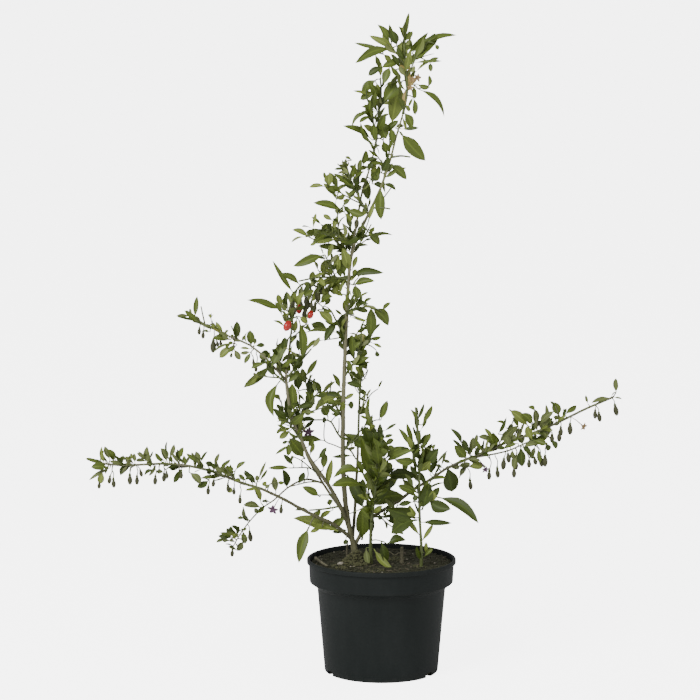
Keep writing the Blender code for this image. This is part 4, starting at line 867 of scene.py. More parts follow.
def bowed_path(start, heading, length, bow, step):
    """A path that sets off along a heading and turns up as it goes, or down where bow is negative."""
    count = max(2, round(length / step))
    path = [start]
    for i in range(count):
        way = (heading + UP * bow * (i / count)).normalized()
        path.append(path[-1] + way * (length / count))
    return path


def compass(heading, rise):
    """A direction from its degrees round from +X and its degrees above the level."""
    level = math.cos(math.radians(rise))
    turn = math.radians(heading)
    return Vector((level * math.cos(turn), level * math.sin(turn), math.sin(math.radians(rise))))


def direction_at(turn, across, over):
    """The direction at a turn from one direction towards another that is square to it."""
    return across * math.cos(turn) + over * math.sin(turn)


def splay(along, turn, angle, lift):
    """A direction that stands off a twig by an angle, at a turn round it, lifted towards the light."""
    across = along.cross(UP)
    if across.length < STEEP_TWIG:
        across = along.cross(Vector((0.0, 1.0, 0.0)))
    across.normalize()
    out = direction_at(turn, across, across.cross(along))
    return (along * math.cos(angle) + out * math.sin(angle) + UP * lift).normalized()


def in_metres(points):
    return [Vector(point) * MM for point in points]


LIMB_PATHS = {limb.name: smooth_path(in_metres(limb.points), STEM_STEP) for limb in LIMBS}


def mass_stem(mass):
    """The path of a mass's own twig, from its parent limb outwards."""
    if mass.points:
        return smooth_path(in_metres(mass.points), TWIG_STEP)
    start, _ = along_path(LIMB_PATHS[mass.parent], mass.at)
    heading = compass(mass.heading, mass.rise)
    return bowed_path(start, heading, mass.length * MM, math.radians(mass.bend), TWIG_STEP)


def grow_shoots(mass, growth, rng, turn):
    """Side shoots along the mass's own twig, each a golden angle further round it than the last."""
    habit = mass.habit
    stem = growth.twigs[0][0]
    for i in range(mass.shoots):
        share = FIRST_SHOOT + SHOOT_RUN * (i + rng.uniform(*SHOOT_PLACE)) / mass.shoots
        start, along = along_path(stem, share)
        turn += GOLDEN_ANGLE
        heading = splay(along, turn, math.radians(habit.branch), habit.lift)
        length = rng.uniform(*habit.shoot) * (1.15 - SHOOT_SHORTENING * share) * MM
        path = bowed_path(start, heading, length, habit.bow, TWIG_STEP)
        if in_view(mass, stem, path[-1]):
            growth.twigs.append((path, SHOOT_RADIUS))


def own_rng(mass, path):
    """A random source of a twig's own, so that a twig that is left out changes nothing on the others."""
    return random.Random(f"{mass.seed} {path[-1].x:.5f} {path[-1].y:.5f} {path[-1].z:.5f}")


def grow_fine_twigs(mass, growth):
    """Finer twigs on the twig and its shoots, where their leaves stand a little further out."""
    habit = mass.habit
    stem = growth.twigs[0][0]
    for path, _ in list(growth.twigs):
        rng = own_rng(mass, path)
        turn = rng.uniform(0.0, math.tau)
        count = round(path_length(path) * habit.fine_twigs / FINE_TWIG_GAP)
        for k in range(count):
            start, along = along_path(path, (k + rng.uniform(*NODE_PLACE)) / count)
            turn += GOLDEN_ANGLE
            heading = splay(along, turn, math.radians(habit.branch * FINE_SPLAY), habit.lift)
            fine = bowed_path(start, heading, rng.uniform(*FINE_TWIG), habit.bow, FINE_TWIG_STEP)
            if in_view(mass, stem, fine[-1]):
                growth.twigs.append((fine, FINE_TWIG_RADIUS))


def distance_to_path(point, path):
    return min((point - p).length for p in path)


def in_space(mass, stem, point):
    """Whether a point keeps to the mass's own space and clear of the pot."""
    beside_pot = math.hypot(point.x, point.y) < RIM_RADIUS + POT_GAP and point.z < GROUND + SPARE
    low, high = CAD_BOX
    in_box = all(low[i] - SPARE < point[i] < high[i] + SPARE for i in range(3))
    return in_box and not beside_pot and distance_to_path(point, stem) < mass.reach * MM


def in_clearing(point):
    """Whether a point shows where the photo has sky between the leaves."""
    x, y = photo_place(point)
    return any(left < x < right and top < y < bottom for left, top, right, bottom in CLEARINGS)


def in_view(mass, stem, point):
    """Whether a point shows where the photo has foliage: close to its bough, or inside the upright part."""
    if in_clearing(point):
        return False
    if mass.habit is FRUITING:
        place = photo_place(point)
        bough = smooth_path(stem, FINE_TWIG_STEP)
        return min((place - photo_place(near)).length for near in bough) < BOUGH_BAND
    return in_silhouette(point)


def in_silhouette(point):
    """Whether a point shows inside the outline of the upright part of the bush."""
    x, y = photo_place(point)
    for (above, *high), (below, *low) in zip(SILHOUETTE, SILHOUETTE[1:]):
        if above <= y <= below:
            share = (y - above) / (below - above)
            left, right = (a + (b - a) * share for a, b in zip(high, low))
            return left - OUTLINE_SPARE < x < right + OUTLINE_SPARE
    return False


def leaf_tone(rng, tones):
    shares = TONE_SHARES[tones]
    return rng.choices(list(shares), list(shares.values()))[0]


def leaf_facing(rng):
    """Where a leaf's upper side faces: up, and more often towards the light than away from it."""
    return (UP * rng.uniform(0.2, 0.9) + compass(rng.gauss(-90.0, 80.0), 0.0)).normalized()


def grow_cluster(mass, growth, rng, path, share, turn):
    """The leaves at one node of a twig: one larger leaf with smaller ones beside it."""
    habit = mass.habit
    stem = growth.twigs[0][0]
    start, along = along_path(path, share)
    tone = leaf_tone(rng, mass.tones)
    for place in range(rng.randint(*habit.cluster)):
        turn += GOLDEN_ANGLE * (SIDE_LEAF_TURN if place else 1.0)
        share_of_size = (1.0 - LEAF_SHORTENING * share) * (rng.uniform(*SIDE_LEAF_SIZE) if place else 1.0)
        size = rng.uniform(*habit.leaf) * share_of_size * MM
        way = splay(along, turn, math.radians(rng.uniform(*habit.spread)), habit.lift)
        width = size * habit.slim * rng.uniform(*LEAF_WIDTH)
        leaf = Leaf(start, start + way * size, width, rng.uniform(*LEAF_BEND),
                    rng.uniform(-LEAF_ROLL, LEAF_ROLL),
                    tone if rng.random() < SAME_TONE else leaf_tone(rng, mass.tones), leaf_facing(rng))
        middle = (leaf.root + leaf.tip) / 2
        if in_space(mass, stem, leaf.tip) and in_view(mass, stem, leaf.tip) and not in_clearing(middle):
            growth.leaves.append(leaf)
    return turn


def grow(mass):
    """Lays out the twigs and leaves of one mass by its seeded rule."""
    rng = random.Random(mass.seed)
    stem = mass_stem(mass)
    growth = Growth(twigs=[(stem, mass.radius * MM)])
    grow_shoots(mass, growth, rng, rng.uniform(0.0, math.tau))
    grow_fine_twigs(mass, growth)
    for path, _ in growth.twigs:
        rng = own_rng(mass, path)
        turn = rng.uniform(0.0, math.tau)
        count = max(1, round(path_length(path) / (mass.habit.node_gap * MM)))
        for k in range(count):
            turn = grow_cluster(mass, growth, rng, path, (k + rng.uniform(*NODE_PLACE)) / count, turn)
        start, along = along_path(path, 1.0)
        way = (along + UP * mass.habit.lift * 0.5).normalized()
        size = mass.habit.leaf[0] * rng.uniform(*END_LEAF_SIZE) * MM
        tip = start + way * size
        if in_view(mass, stem, tip):
            growth.leaves.append(Leaf(start, tip, size * mass.habit.slim, tone=leaf_tone(rng, mass.tones),
                                      facing=leaf_facing(rng)))
    return growth


def carrier_points(growths):
    """Points all along the twigs and limbs, each with its mass and its place in the photo."""
    found = []
    for name, growth in growths.items():
        for path, _ in growth.twigs:
            found.extend((name, point, photo_place(point)) for point in smooth_path(path, CARRIER_STEP))
    for limb in LIMBS:
        name = next((mass.name for mass in MASSES if mass.parent == limb.name), MASSES[0].name)
        path = smooth_path(LIMB_PATHS[limb.name], CARRIER_STEP)
        found.extend((name, point, photo_place(point)) for point in path)
    return found


def nearest_carrier(carriers, x, y):
    """The carrier point that shows nearest to a pixel, and how many pixels away it is."""
    seen = Vector((x, y))
    found = min(carriers, key=lambda carrier: (carrier[2] - seen).length_squared)
    return found, (found[2] - seen).length


def add_twig(growths, carriers, name, path, radius):
    """Adds a twig to a mass, and its points to those that can carry leaves."""
    growths[name].twigs.append((path, radius))
    carriers.extend((name, point, photo_place(point)) for point in smooth_path(path, CARRIER_STEP))


def seat_on_twig(growths, carriers, x, y, rng):
    """The growth nearest to a pixel and a root on its twig, or on a short twig where that is a step away."""
    (name, point, _), gap = nearest_carrier(carriers, x, y)
    if gap <= NEAR_TWIG:
        return growths[name], point
    root = kept_in_box(photo_point(x, y, point.y + rng.uniform(-SPUR_DRIFT, SPUR_DRIFT) * MM))
    path = [point, (point + root) / 2 + UP * (root - point).length * 0.1, root]
    if gap > LONG_SPUR:
        add_twig(growths, carriers, name, path, SPUR_RADIUS)
    else:
        growths[name].twigs.append((path, FINE_TWIG_RADIUS))
    return growths[name], root


def add_seen_twigs(growths, carriers, rng):
    """Grows the twigs that show singly from the nearest limb or twig."""
    for radius, pixels in SEEN_TWIGS:
        (name, start, _), _ = nearest_carrier(carriers, *pixels[0])
        drift = rng.uniform(*TWIG_DRIFT) * MM
        path = [start] + [photo_point(x, y, start.y + drift * (i + 1) / len(pixels))
                          for i, (x, y) in enumerate(pixels[1:])]
        add_twig(growths, carriers, name, path, radius * MM)


def row_rng(row):
    """A random source of a row's own, so that a change to one row changes nothing on the others."""
    return random.Random(f"{SEEN_SEED} {row[:4]}")


def kept_in_box(point):
    low, high = CAD_BOX
    return Vector([min(max(point[i], low[i]), high[i]) for i in range(3)])


def add_seen_leaf(growths, carriers, row, look, rng):
    """Sets one leaf that shows singly on its twig, with its upper side towards the light and the viewer."""
    root_x, root_y, tip_x, tip_y, width, bow, *known = row
    tones, wider = look
    growth, root = seat_on_twig(growths, carriers, root_x, root_y, rng)
    ahead = Vector((tip_x - root_x, tip_y - root_y)).normalized() * TIP_REACH
    length = (photo_point(tip_x, tip_y, root.y) - root).length
    depth = root.y + rng.uniform(*SEEN_LEAF_DRIFT) * length
    tip = kept_in_box(photo_point(tip_x + ahead.x, tip_y + ahead.y, depth))
    aside = Vector((tip_y - root_y, root_x - tip_x)).normalized()
    if aside.y > UPRIGHT_SIDE or (abs(aside.y) <= UPRIGHT_SIDE and aside.x < 0.0):
        aside.negate()
    pixel = (tip - root).length / max((photo_place(tip) - photo_place(root)).length, 1.0)
    raised = UP * rng.uniform(0.1, 0.6)
    slanted = Vector((rng.uniform(-0.5, 0.5), 0.0, 0.0))
    facing = (TO_CAMERA + raised + slanted).normalized()
    tone = known[0] if known else leaf_tone(rng, tones)
    if not known and (tone == "yellowed" or tone == "light" and width > BROAD_LEAF):
        tone = "mid"
    swing = Vector((aside.x, 0.0, -aside.y)) * bow * pixel
    bend = rng.uniform(*SEEN_LEAF_BEND)
    growth.leaves.append(Leaf(root, tip, (width + wider) * pixel, bend, 0.0, tone, facing, swing))


def add_seen(growths):
    """Adds the twigs, leaves, fruits and flowers that show singly to the masses they belong to."""
    carriers = carrier_points(growths)
    add_seen_twigs(growths, carriers, random.Random(SEEN_SEED))
    for region, rows in SEEN_LEAVES.items():
        for row in sorted(rows, key=lambda row: nearest_carrier(carriers, row[0], row[1])[1]):
            add_seen_leaf(growths, carriers, row, SEEN_LOOK[region], row_rng(row))
    for rows, ripe, ahead, stretch in ((SEEN_FRUITS, False, 0.0, GREEN_STRETCH),
                                       (RIPE_FRUITS, True, RIPE_AHEAD, 1.0)):
        for row in rows:
            root_x, root_y, x, y, length = row
            rng = row_rng(row)
            growth, root = seat_on_twig(growths, carriers, root_x, root_y, rng)
            bottom = photo_point(x, y, root.y - (ahead + rng.uniform(-FRUIT_DRIFT, FRUIT_DRIFT)) * MM)
            growth.fruits.append(Fruit(root, bottom, length * MM_A_PIXEL * stretch, ripe))
    for rows, withered in ((OPEN_FLOWERS, False), (WITHERED_FLOWERS, True)):
        for row in rows:
            root_x, root_y, x, y, petal = row
            growth, root = seat_on_twig(growths, carriers, root_x, root_y, row_rng(row))
            middle = photo_point(x, y, root.y - FLOWER_AHEAD)
            growth.flowers.append(Flower(root, middle, petal * MM_A_PIXEL, withered))


@functools.lru_cache(maxsize=None)
def whole_growth():
    """The growth of every mass, by its name."""
    growths = {mass.name: grow(mass) for mass in MASSES}
    add_seen(growths)
    return growths


class MeshParts:
    """Collects the points and faces of many small pieces for one joined mesh."""

    def __init__(self):
        self.points = []
        self.faces = []
        self.places = []

    def add_grid(self, rows, closed, places=None):
        """Joins rows of points with quads; closed rows run round a tube, and its ends are closed."""
        width = len(rows[0])
        base = len(self.points)
        for row in rows:
            self.points.extend(row)
        if places:
            self.places.extend(places)
        for r in range(len(rows) - 1):
            for c in range(width if closed else width - 1):
                d = (c + 1) % width
                self.faces.append((base + r * width + c, base + r * width + d,
                                   base + (r + 1) * width + d, base + (r + 1) * width + c))
        if closed:
            self.faces.append(tuple(base + c for c in reversed(range(width))))
            last = base + (len(rows) - 1) * width
            self.faces.append(tuple(last + c for c in range(width)))

    def build(self, name, finish):
        mesh = bpy.data.meshes.new(name)
        mesh.from_pydata(self.points, [], self.faces)
        if self.places:
            layer = mesh.uv_layers.new(name="leaf")
            for loop in mesh.loops:
                layer.data[loop.index].uv = self.places[loop.vertex_index]
        for face in mesh.polygons:
            face.use_smooth = True
        mesh.materials.append(finish)
        mesh.validate()
        piece = bpy.data.objects.new(name, mesh)
        bpy.context.scene.collection.objects.link(piece)
        return piece


def section_frames(path):
    """An across and an over direction at each point of a path, carried along it without a twist."""
    along = [(path[min(i + 1, len(path) - 1)] - path[max(i - 1, 0)]).normalized() for i in range(len(path))]
    across = along[0].cross(Vector((0.0, 1.0, 0.1)))
    frames = []
    for way in along:
        across = (across - way * across.dot(way)).normalized()
        frames.append((across, way.cross(across)))
    return frames


def add_tube(parts, path, radius_at, sides, relief=None):
    """A tube along a path; relief gives the share that its radius grows by at a point, a turn and a place."""
    rows = []
    total = path_length(path)
    done = 0.0
    for i, (point, (across, over)) in enumerate(zip(path, section_frames(path))):
        done += (point - path[i - 1]).length if i else 0.0
        radius = radius_at(done / total, point)
        row = []
        for k in range(sides):
            turn = math.tau * k / sides
            out = direction_at(turn, across, over)
            grown = 1.0 + (relief(point + out * radius, turn, done) if relief else 0.0)
            row.append(point + out * radius * grown)
        rows.append(row)
    parts.add_grid(rows, True)


def leaf_outline(share, skew, fullness):
    """Half width at a share of a leaf's length: a narrow stalk that widens into the blade, and a point."""
    blade = max(0.0, (share - LEAF_STALK) / (1.0 - LEAF_STALK))
    body = max(0.0, math.sin(math.pi * blade ** skew)) ** fullness * min(1.0, blade / 0.3) ** 0.4
    return max(body, STALK_WIDTH * (1.0 - share))


def add_leaf(parts, leaf, fold, rng):
    """A leaf folded along its midrib, with an arch, a hanging tip, a twist and a slightly waved edge."""
    length = (leaf.tip - leaf.root).length
    along = (leaf.tip - leaf.root).normalized()
    side = along.cross(leaf.facing)
    if side.length < ALONG_LEAF:
        side = along.cross(TO_CAMERA)
    side = Matrix.Rotation(leaf.roll, 3, along) @ side.normalized()
    twist = rng.uniform(-LEAF_TWIST, LEAF_TWIST)
    wave = rng.uniform(0.0, LEAF_WAVE)
    phase = rng.uniform(0.0, math.tau)
    short = length < SHORT_LEAF
    skew = rng.uniform(*(SHORT_SKEW if short else LONG_SKEW))
    fullness = SHORT_FULLNESS if short else LONG_FULLNESS
    rows, places = [], []
    for r in range(LEAF_ROWS + 1):
        share = r / LEAF_ROWS
        turned = Matrix.Rotation(twist * share, 3, along) @ side
        over = turned.cross(along)
        arch = leaf.bend * length * (math.sin(math.pi * share) - 0.35 * share ** 3)
        middle = leaf.root + along * length * share + over * arch + leaf.swing * math.sin(math.pi * share)
        half = leaf.width / 2 * leaf_outline(share, skew, fullness)
        row = []
        for c in range(LEAF_COLUMNS + 1):
            across = 2.0 * c / LEAF_COLUMNS - 1.0
            shift = WAVE_SHIFT if across > 0 else 0.0
            lift = fold * abs(across) ** FOLD_CURVE * half
            lift += wave * half * across ** 2 * math.sin(share * WAVE_RATE + phase + shift)
            row.append(middle + turned * half * across + over * lift)
            places.append((c / LEAF_COLUMNS, share))
        rows.append(row)
    parts.add_grid(rows, False, places)


def add_drop(parts, top, bottom, width, skew, sides=12, rows=10):
    """A hanging fruit, widest at its middle or, the greater the skew, nearer its blunt tip."""
    axis = (bottom - top).normalized()
    length = (bottom - top).length
    across = axis.orthogonal().normalized()
    over = axis.cross(across)
    made = []
    for r in range(rows + 1):
        share = r / rows
        girth = max(math.sin(math.pi * share ** skew), 0.0) ** 0.5 * min(1.0, 0.5 + share) + 0.04
        radius = width / 2 * girth
        middle = top + axis * length * share
        made.append([middle + direction_at(math.tau * k / sides, across, over) * radius
                     for k in range(sides)])
    parts.add_grid(made, True)


def feed(tree, socket, value):
    """Links a socket to another one, or sets it to a number, a vector or a colour."""
    if isinstance(value, bpy.types.NodeSocket):
        tree.links.new(value, socket)
    else:
        socket.default_value = value


def set_inputs(tree, node, **inputs):
    """Sets or links some of a node's inputs, by name with spaces as underscores."""
    for name, value in inputs.items():
        feed(tree, node.inputs[name.replace("_", " ")], value)


def shader_node(tree, kind, **inputs):
    """A shader node with some of its inputs set or linked."""
    made = tree.nodes.new(kind)
    set_inputs(tree, made, **inputs)
    return made


def math_node(tree, operation, *values, clamp=False):
    """What a math node makes of one or two sockets or numbers."""
    made = tree.nodes.new("ShaderNodeMath")
    made.operation = operation
    made.use_clamp = clamp
    for socket, value in zip(made.inputs, values):
        feed(tree, socket, value)
    return made.outputs[0]


def mixed_colour(tree, mask, first, second):
    """The second colour laid over the first by a mask; each is a socket or a colour."""
    made = tree.nodes.new("ShaderNodeMix")
    made.data_type = "RGBA"
    set_inputs(tree, made, Factor=mask, A=first, B=second)
    return made.outputs["Result"]


def new_group(name, inputs, outputs):
    """A node group, what it is given and what it results in, from its sockets' names, kinds and values."""
    group = bpy.data.node_groups.new(name, "ShaderNodeTree")
    add_socket = group.interface.new_socket
    for socket, kind, value in inputs:
        add_socket(name=socket, in_out="INPUT", socket_type=f"NodeSocket{kind}").default_value = value
    for socket, kind in outputs:
        add_socket(name=socket, in_out="OUTPUT", socket_type=f"NodeSocket{kind}")
    return group, group.nodes.new("NodeGroupInput").outputs, group.nodes.new("NodeGroupOutput").inputs


@functools.lru_cache(maxsize=None)
def mottle_group():
    """Two tints mixed by soft noise stretched along each axis; gives the colour and the noise's height."""
    group, given, result = new_group("mottle", (
        ("Tint", "Color", (0.5, 0.5, 0.5, 1.0)), ("Second Tint", "Color", (0.3, 0.3, 0.3, 1.0)),
        ("Stretch", "Vector", (1.0, 1.0, 1.0)), ("Scale", "Float", 200.0), ("Balance", "Float", 0.5),
        ("Softness", "Float", 0.2)), (("Color", "Color"), ("Height", "Float")))
    place = group.nodes.new("ShaderNodeTexCoord")
    stretched = group.nodes.new("ShaderNodeVectorMath")
    stretched.operation = "MULTIPLY"
    feed(group, stretched.inputs[0], place.outputs["Object"])
    feed(group, stretched.inputs[1], given["Stretch"])
    grain = shader_node(group, "ShaderNodeTexNoise", Vector=stretched.outputs[0], Scale=given["Scale"],
                        Detail=6.0, Roughness=0.6)
    low = math_node(group, "SUBTRACT", given["Balance"], given["Softness"])
    high = math_node(group, "ADD", given["Balance"], given["Softness"])
    spread = shader_node(group, "ShaderNodeMapRange", Value=grain.outputs["Fac"], From_Min=low, From_Max=high)
    colour = mixed_colour(group, spread.outputs["Result"], given["Tint"], given["Second Tint"])
    feed(group, result["Color"], colour)
    feed(group, result["Height"], grain.outputs["Fac"])
    return group


@functools.lru_cache(maxsize=None)
def height_band_group():
    """A mask that is one below a height, fades out above it, and is broken up by noise."""
    group, given, result = new_group("height_band", (
        ("Full Below", "Float", 0.0), ("None Above", "Float", 0.02), ("Scale", "Float", 60.0),
        ("Breakup", "Float", 0.5)), (("Mask", "Float"),))
    place = group.nodes.new("ShaderNodeTexCoord")
    split = shader_node(group, "ShaderNodeSeparateXYZ", Vector=place.outputs["Object"])
    fade = shader_node(group, "ShaderNodeMapRange", Value=split.outputs["Z"], From_Min=given["Full Below"],
                       From_Max=given["None Above"], To_Min=1.0, To_Max=0.0)
    grain = shader_node(group, "ShaderNodeTexNoise", Vector=place.outputs["Object"], Scale=given["Scale"],
                        Detail=5.0)
    cut = math_node(group, "MULTIPLY", grain.outputs["Fac"], given["Breakup"])
    feed(group, result["Mask"], math_node(group, "SUBTRACT", fade.outputs["Result"], cut, clamp=True))
    return group


def dimmed(colour, share):
    return tuple(channel * share for channel in colour)


class Finish:
    """A material under way: its node tree, its shader, and the mottled tint that feeds its colour."""

    def __init__(self, name, tint, second, scale, stretch=(1.0, 1.0, 1.0), balance=0.5, softness=0.2,
                 roughness=0.6, relief=0.0, specular=0.5):
        self.material = bpy.data.materials.new(name)
        self.material.use_nodes = True
        self.tree = self.material.node_tree
        self.shader = self.tree.nodes["Principled BSDF"]
        set_inputs(self.tree, self.shader, Roughness=roughness, Specular_IOR_Level=specular)
        self.mottle = self.run_group(mottle_group(), Tint=(*tint, 1.0), Second_Tint=(*second, 1.0),
                                     Stretch=stretch, Scale=scale, Balance=balance, Softness=softness)
        self.colour = self.mottle["Color"]
        set_inputs(self.tree, self.shader, Base_Color=self.colour)
        if relief:
            bump = shader_node(self.tree, "ShaderNodeBump", Strength=1.0, Distance=relief,
                               Height=self.mottle["Height"])
            set_inputs(self.tree, self.shader, Normal=bump.outputs["Normal"])

    def run_group(self, group, **inputs):
        """What a node group results in, with its inputs set."""
        made = self.tree.nodes.new("ShaderNodeGroup")
        made.node_tree = group
        set_inputs(self.tree, made, **inputs)
        return made.outputs

    def mix_in(self, mask, colour):
        """Mixes a further colour over the base colour by a mask."""
        self.colour = mixed_colour(self.tree, mask, self.colour, (*colour, 1.0))
        set_inputs(self.tree, self.shader, Base_Color=self.colour)

    def band(self, full, none, scale, breakup):
        """A mask that fades out with height."""
        return self.run_group(height_band_group(), Full_Below=full, None_Above=none, Scale=scale,
                              Breakup=breakup)["Mask"]

    def vary_roughness(self, low, high):
        spread = shader_node(self.tree, "ShaderNodeMapRange", Value=self.mottle["Height"], To_Min=low,
                             To_Max=high)
        set_inputs(self.tree, self.shader, Roughness=spread.outputs["Result"])


def pot_finish(settings):
    finish = Finish("moulded_plastic", settings.colour, settings.worn_colour, 38.0, stretch=(1.0, 1.0, 0.35),
                    balance=0.62, softness=0.25, roughness=settings.roughness, relief=0.05 * MM,
                    specular=0.10)
    finish.mix_in(finish.band(2.0 * MM, 26.0 * MM, 90.0, 1.6), settings.dust_colour)
    finish.vary_roughness(settings.roughness - 0.08, settings.roughness + 0.14)
    return finish.material


def bark_finish(settings):
    """Ridged bark: darker at the foot, pale halfway up and greener towards the top."""
    finish = Finish("bark", settings.bark_colour, settings.bark_shade, 420.0, stretch=(1.0, 1.0, 0.16),
                    balance=0.47, softness=0.16, roughness=0.85, relief=0.35 * MM, specular=0.25)
    for full, none, colour in ((0.24, 0.34, settings.pale_colour), (0.54, 0.64, settings.young_colour)):
        below = finish.band(full, none, 40.0, 0.25)
        finish.mix_in(math_node(finish.tree, "SUBTRACT", 1.0, below), colour)
    return finish.material


def green_stem_finish(settings):
    return Finish("green_stem", settings.shoot_colour, settings.shoot_shade, 260.0, stretch=(1.0, 1.0, 0.2),
                  roughness=0.5, relief=0.08 * MM, specular=0.4).material


def twig_finish(settings):
    return Finish("twig_bark", settings.twig_colour, settings.shoot_colour, 60.0, balance=0.52, softness=0.15,
                  roughness=0.7, relief=0.06 * MM, specular=0.3).material


def soil_finish(settings):
    return Finish("peat_soil", settings.colour, settings.crumb_colour, 330.0, balance=0.54, softness=0.12,
                  roughness=0.95, relief=0.6 * MM, specular=0.2).material


def leaf_finish(name, tone):
    """Leaf: mottled upper side with a paler midrib, and a paler, greyer underside."""
    finish = Finish(f"leaf_{name}", tone.upper, dimmed(tone.upper, 0.72), 90.0, softness=0.3, roughness=0.48,
                    relief=0.12 * MM, specular=0.25)
    tree = finish.tree
    place = tree.nodes.new("ShaderNodeUVMap")
    place.uv_map = "leaf"
    split = shader_node(tree, "ShaderNodeSeparateXYZ", Vector=place.outputs["UV"])
    away = math_node(tree, "ABSOLUTE", math_node(tree, "SUBTRACT", split.outputs["X"], 0.5))
    rib = shader_node(tree, "ShaderNodeMapRange", Value=away, From_Min=0.02, From_Max=0.09, To_Min=0.55,
                      To_Max=0.0)
    finish.mix_in(rib.outputs["Result"], dimmed(tone.upper, 1.7))
    back = tree.nodes.new("ShaderNodeNewGeometry")
    finish.mix_in(back.outputs["Backfacing"], tone.under)
    return finish.material


def fruit_finish(name, tint, shade, roughness):
    """Smooth skin in a tint, mottled with the same tint dimmed to a share."""
    return Finish(name, tint, dimmed(tint, shade), 160.0, roughness=roughness, relief=0.05 * MM).material


def place_piece(piece, slot, *nodes):
    """Lets a piece ride on the plant and hides the solids that it stands for; slot is not used."""
    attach(piece, BODY)
    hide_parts(*nodes)


def turned_mesh(name, profile, steps):
    """A body turned from its half section, with its notches and holes still to cut."""
    bm = bmesh.new()
    verts = [bm.verts.new((radius, 0.0, height)) for radius, height in profile]
    edges = [bm.edges.new(pair) for pair in zip(verts, verts[1:])]
    bmesh.ops.spin(bm, geom=verts + edges, cent=(0.0, 0.0, 0.0), axis=(0.0, 0.0, 1.0), angle=math.tau,
                   steps=steps, use_merge=True, use_duplicate=False)
    bmesh.ops.remove_doubles(bm, verts=bm.verts[:], dist=0.01 * MM)
    bmesh.ops.recalc_face_normals(bm, faces=bm.faces[:])
    if bm.calc_volume(signed=True) < 0.0:
        bmesh.ops.reverse_faces(bm, faces=bm.faces[:])
    mesh = bpy.data.meshes.new(name)
    bm.to_mesh(mesh)
    bm.free()
    piece = bpy.data.objects.new(name, mesh)
    bpy.context.scene.collection.objects.link(piece)
    return piece


def arc_points(centre, radius_x, radius_z, start, end, count):
    """Points on an arc of a half section, by degrees from the outward side."""
    turns = [math.radians(start + (end - start) * i / count) for i in range(count + 1)]
    return [(centre[0] + radius_x * math.cos(turn), centre[1] + radius_z * math.sin(turn)) for turn in turns]


def pot_profile():
    """Half section of the pot, up the inside, over its rolled lip and down the outside."""
    band_radius = RIM_RADIUS - LIP_OVERHANG
    band_top = POT_HEIGHT - LIP_DROP
    band_foot = band_top - BAND_HEIGHT
    body_top = band_foot - SHOULDER_DROP
    inner_foot = BODY_FOOT_RADIUS - WALL
    inner_top = band_radius - WALL
    half = (RIM_RADIUS - inner_top - 0.3 * MM) / 2
    lip = arc_points((RIM_RADIUS - half, POT_HEIGHT - LIP_ROUND), half, LIP_ROUND, 180.0, 0.0, 10)
    under_lip = arc_points((RIM_RADIUS - UNDER_LIP_ROUND, band_top + 2.0 * MM), UNDER_LIP_ROUND,
                           UNDER_LIP_ROUND, 0.0, -90.0, 4)
    shoulder = arc_points((band_radius - BAND_DRAFT - BAND_ROUND, band_foot + 0.2 * MM), BAND_ROUND,
                          BAND_ROUND, 0.0, -80.0, 4)
    foot = arc_points((BODY_FOOT_RADIUS - FOOT_ROUND, FOOT_ROUND), FOOT_ROUND, FOOT_ROUND, 0.0, -90.0, 5)
    return [(0.0, FLOOR), (inner_foot, FLOOR), (BODY_TOP_RADIUS - WALL, body_top + WALL / 2),
            (inner_top - BAND_DRAFT, band_foot + WALL / 2), (inner_top, band_top), *lip, *under_lip,
            (band_radius + 0.3 * MM, band_top + 1.0 * MM), (band_radius, band_top), *shoulder,
            (BODY_TOP_RADIUS + 0.8 * MM, body_top + 1.2 * MM), (BODY_TOP_RADIUS, body_top - 0.4 * MM), *foot,
            (0.0, 0.0)]


def cut_with(piece, cutters):
    """Cuts a collection of cutters out of a piece, and removes them."""
    group = bpy.data.collections.new("cutters")
    bpy.context.scene.collection.children.link(group)
    for cutter in cutters:
        group.objects.link(cutter)
    change = piece.modifiers.new("cut", "BOOLEAN")
    change.operation = "DIFFERENCE"
    change.solver = "EXACT"
    change.operand_type = "COLLECTION"
    change.collection = group
    bpy.context.view_layer.update()
    mesh = bpy.data.meshes.new_from_object(piece.evaluated_get(bpy.context.evaluated_depsgraph_get()))
    piece.modifiers.clear()
    piece.data = mesh
    for cutter in cutters:
        bpy.data.objects.remove(cutter)
    bpy.data.collections.remove(group)


def pot_cutters():
    """Three rounded notches in the foot and a ring of drain holes in the floor."""
    made = []
    for angle in NOTCH_ANGLES:
        bm = bmesh.new()
        size = Matrix.Diagonal((NOTCH_DEPTH * 2, NOTCH_WIDTH, NOTCH_HEIGHT * 2, 1.0))
        turned = Matrix.Rotation(math.radians(angle), 4, "Z")
        place = turned @ Matrix.Translation((BODY_FOOT_RADIUS, 0.0, 0.0))
        bmesh.ops.create_cube(bm, size=1.0, matrix=size)
        inward = [e for e in bm.edges if abs(e.verts[0].co.x - e.verts[1].co.x) > NOTCH_DEPTH]
        bmesh.ops.bevel(bm, geom=inward, offset=NOTCH_ROUND, segments=4, affect="EDGES", profile=0.5)
        bmesh.ops.transform(bm, matrix=place, verts=bm.verts[:])
        made.append(bm)
    for i in range(DRAIN_COUNT):
        turn = math.tau * (i + 0.5) / DRAIN_COUNT
        bm = bmesh.new()
        place = Matrix.Translation((DRAIN_CIRCLE * math.cos(turn), DRAIN_CIRCLE * math.sin(turn), 0.0))
        bmesh.ops.create_cone(bm, cap_ends=True, segments=28, radius1=DRAIN_RADIUS, radius2=DRAIN_RADIUS,
                              depth=FLOOR * 4, matrix=place)
        made.append(bm)
    cutters = []
    for bm in made:
        mesh = bpy.data.meshes.new("cutter")
        bm.to_mesh(mesh)
        bm.free()
        cutters.append(bpy.data.objects.new("cutter", mesh))
    return cutters


def soften(piece, angle):
    """Smooth shading with sharp edges kept above an angle."""
    piece.data.shade_smooth()
    piece.data.set_sharp_from_angle(angle=math.radians(angle))


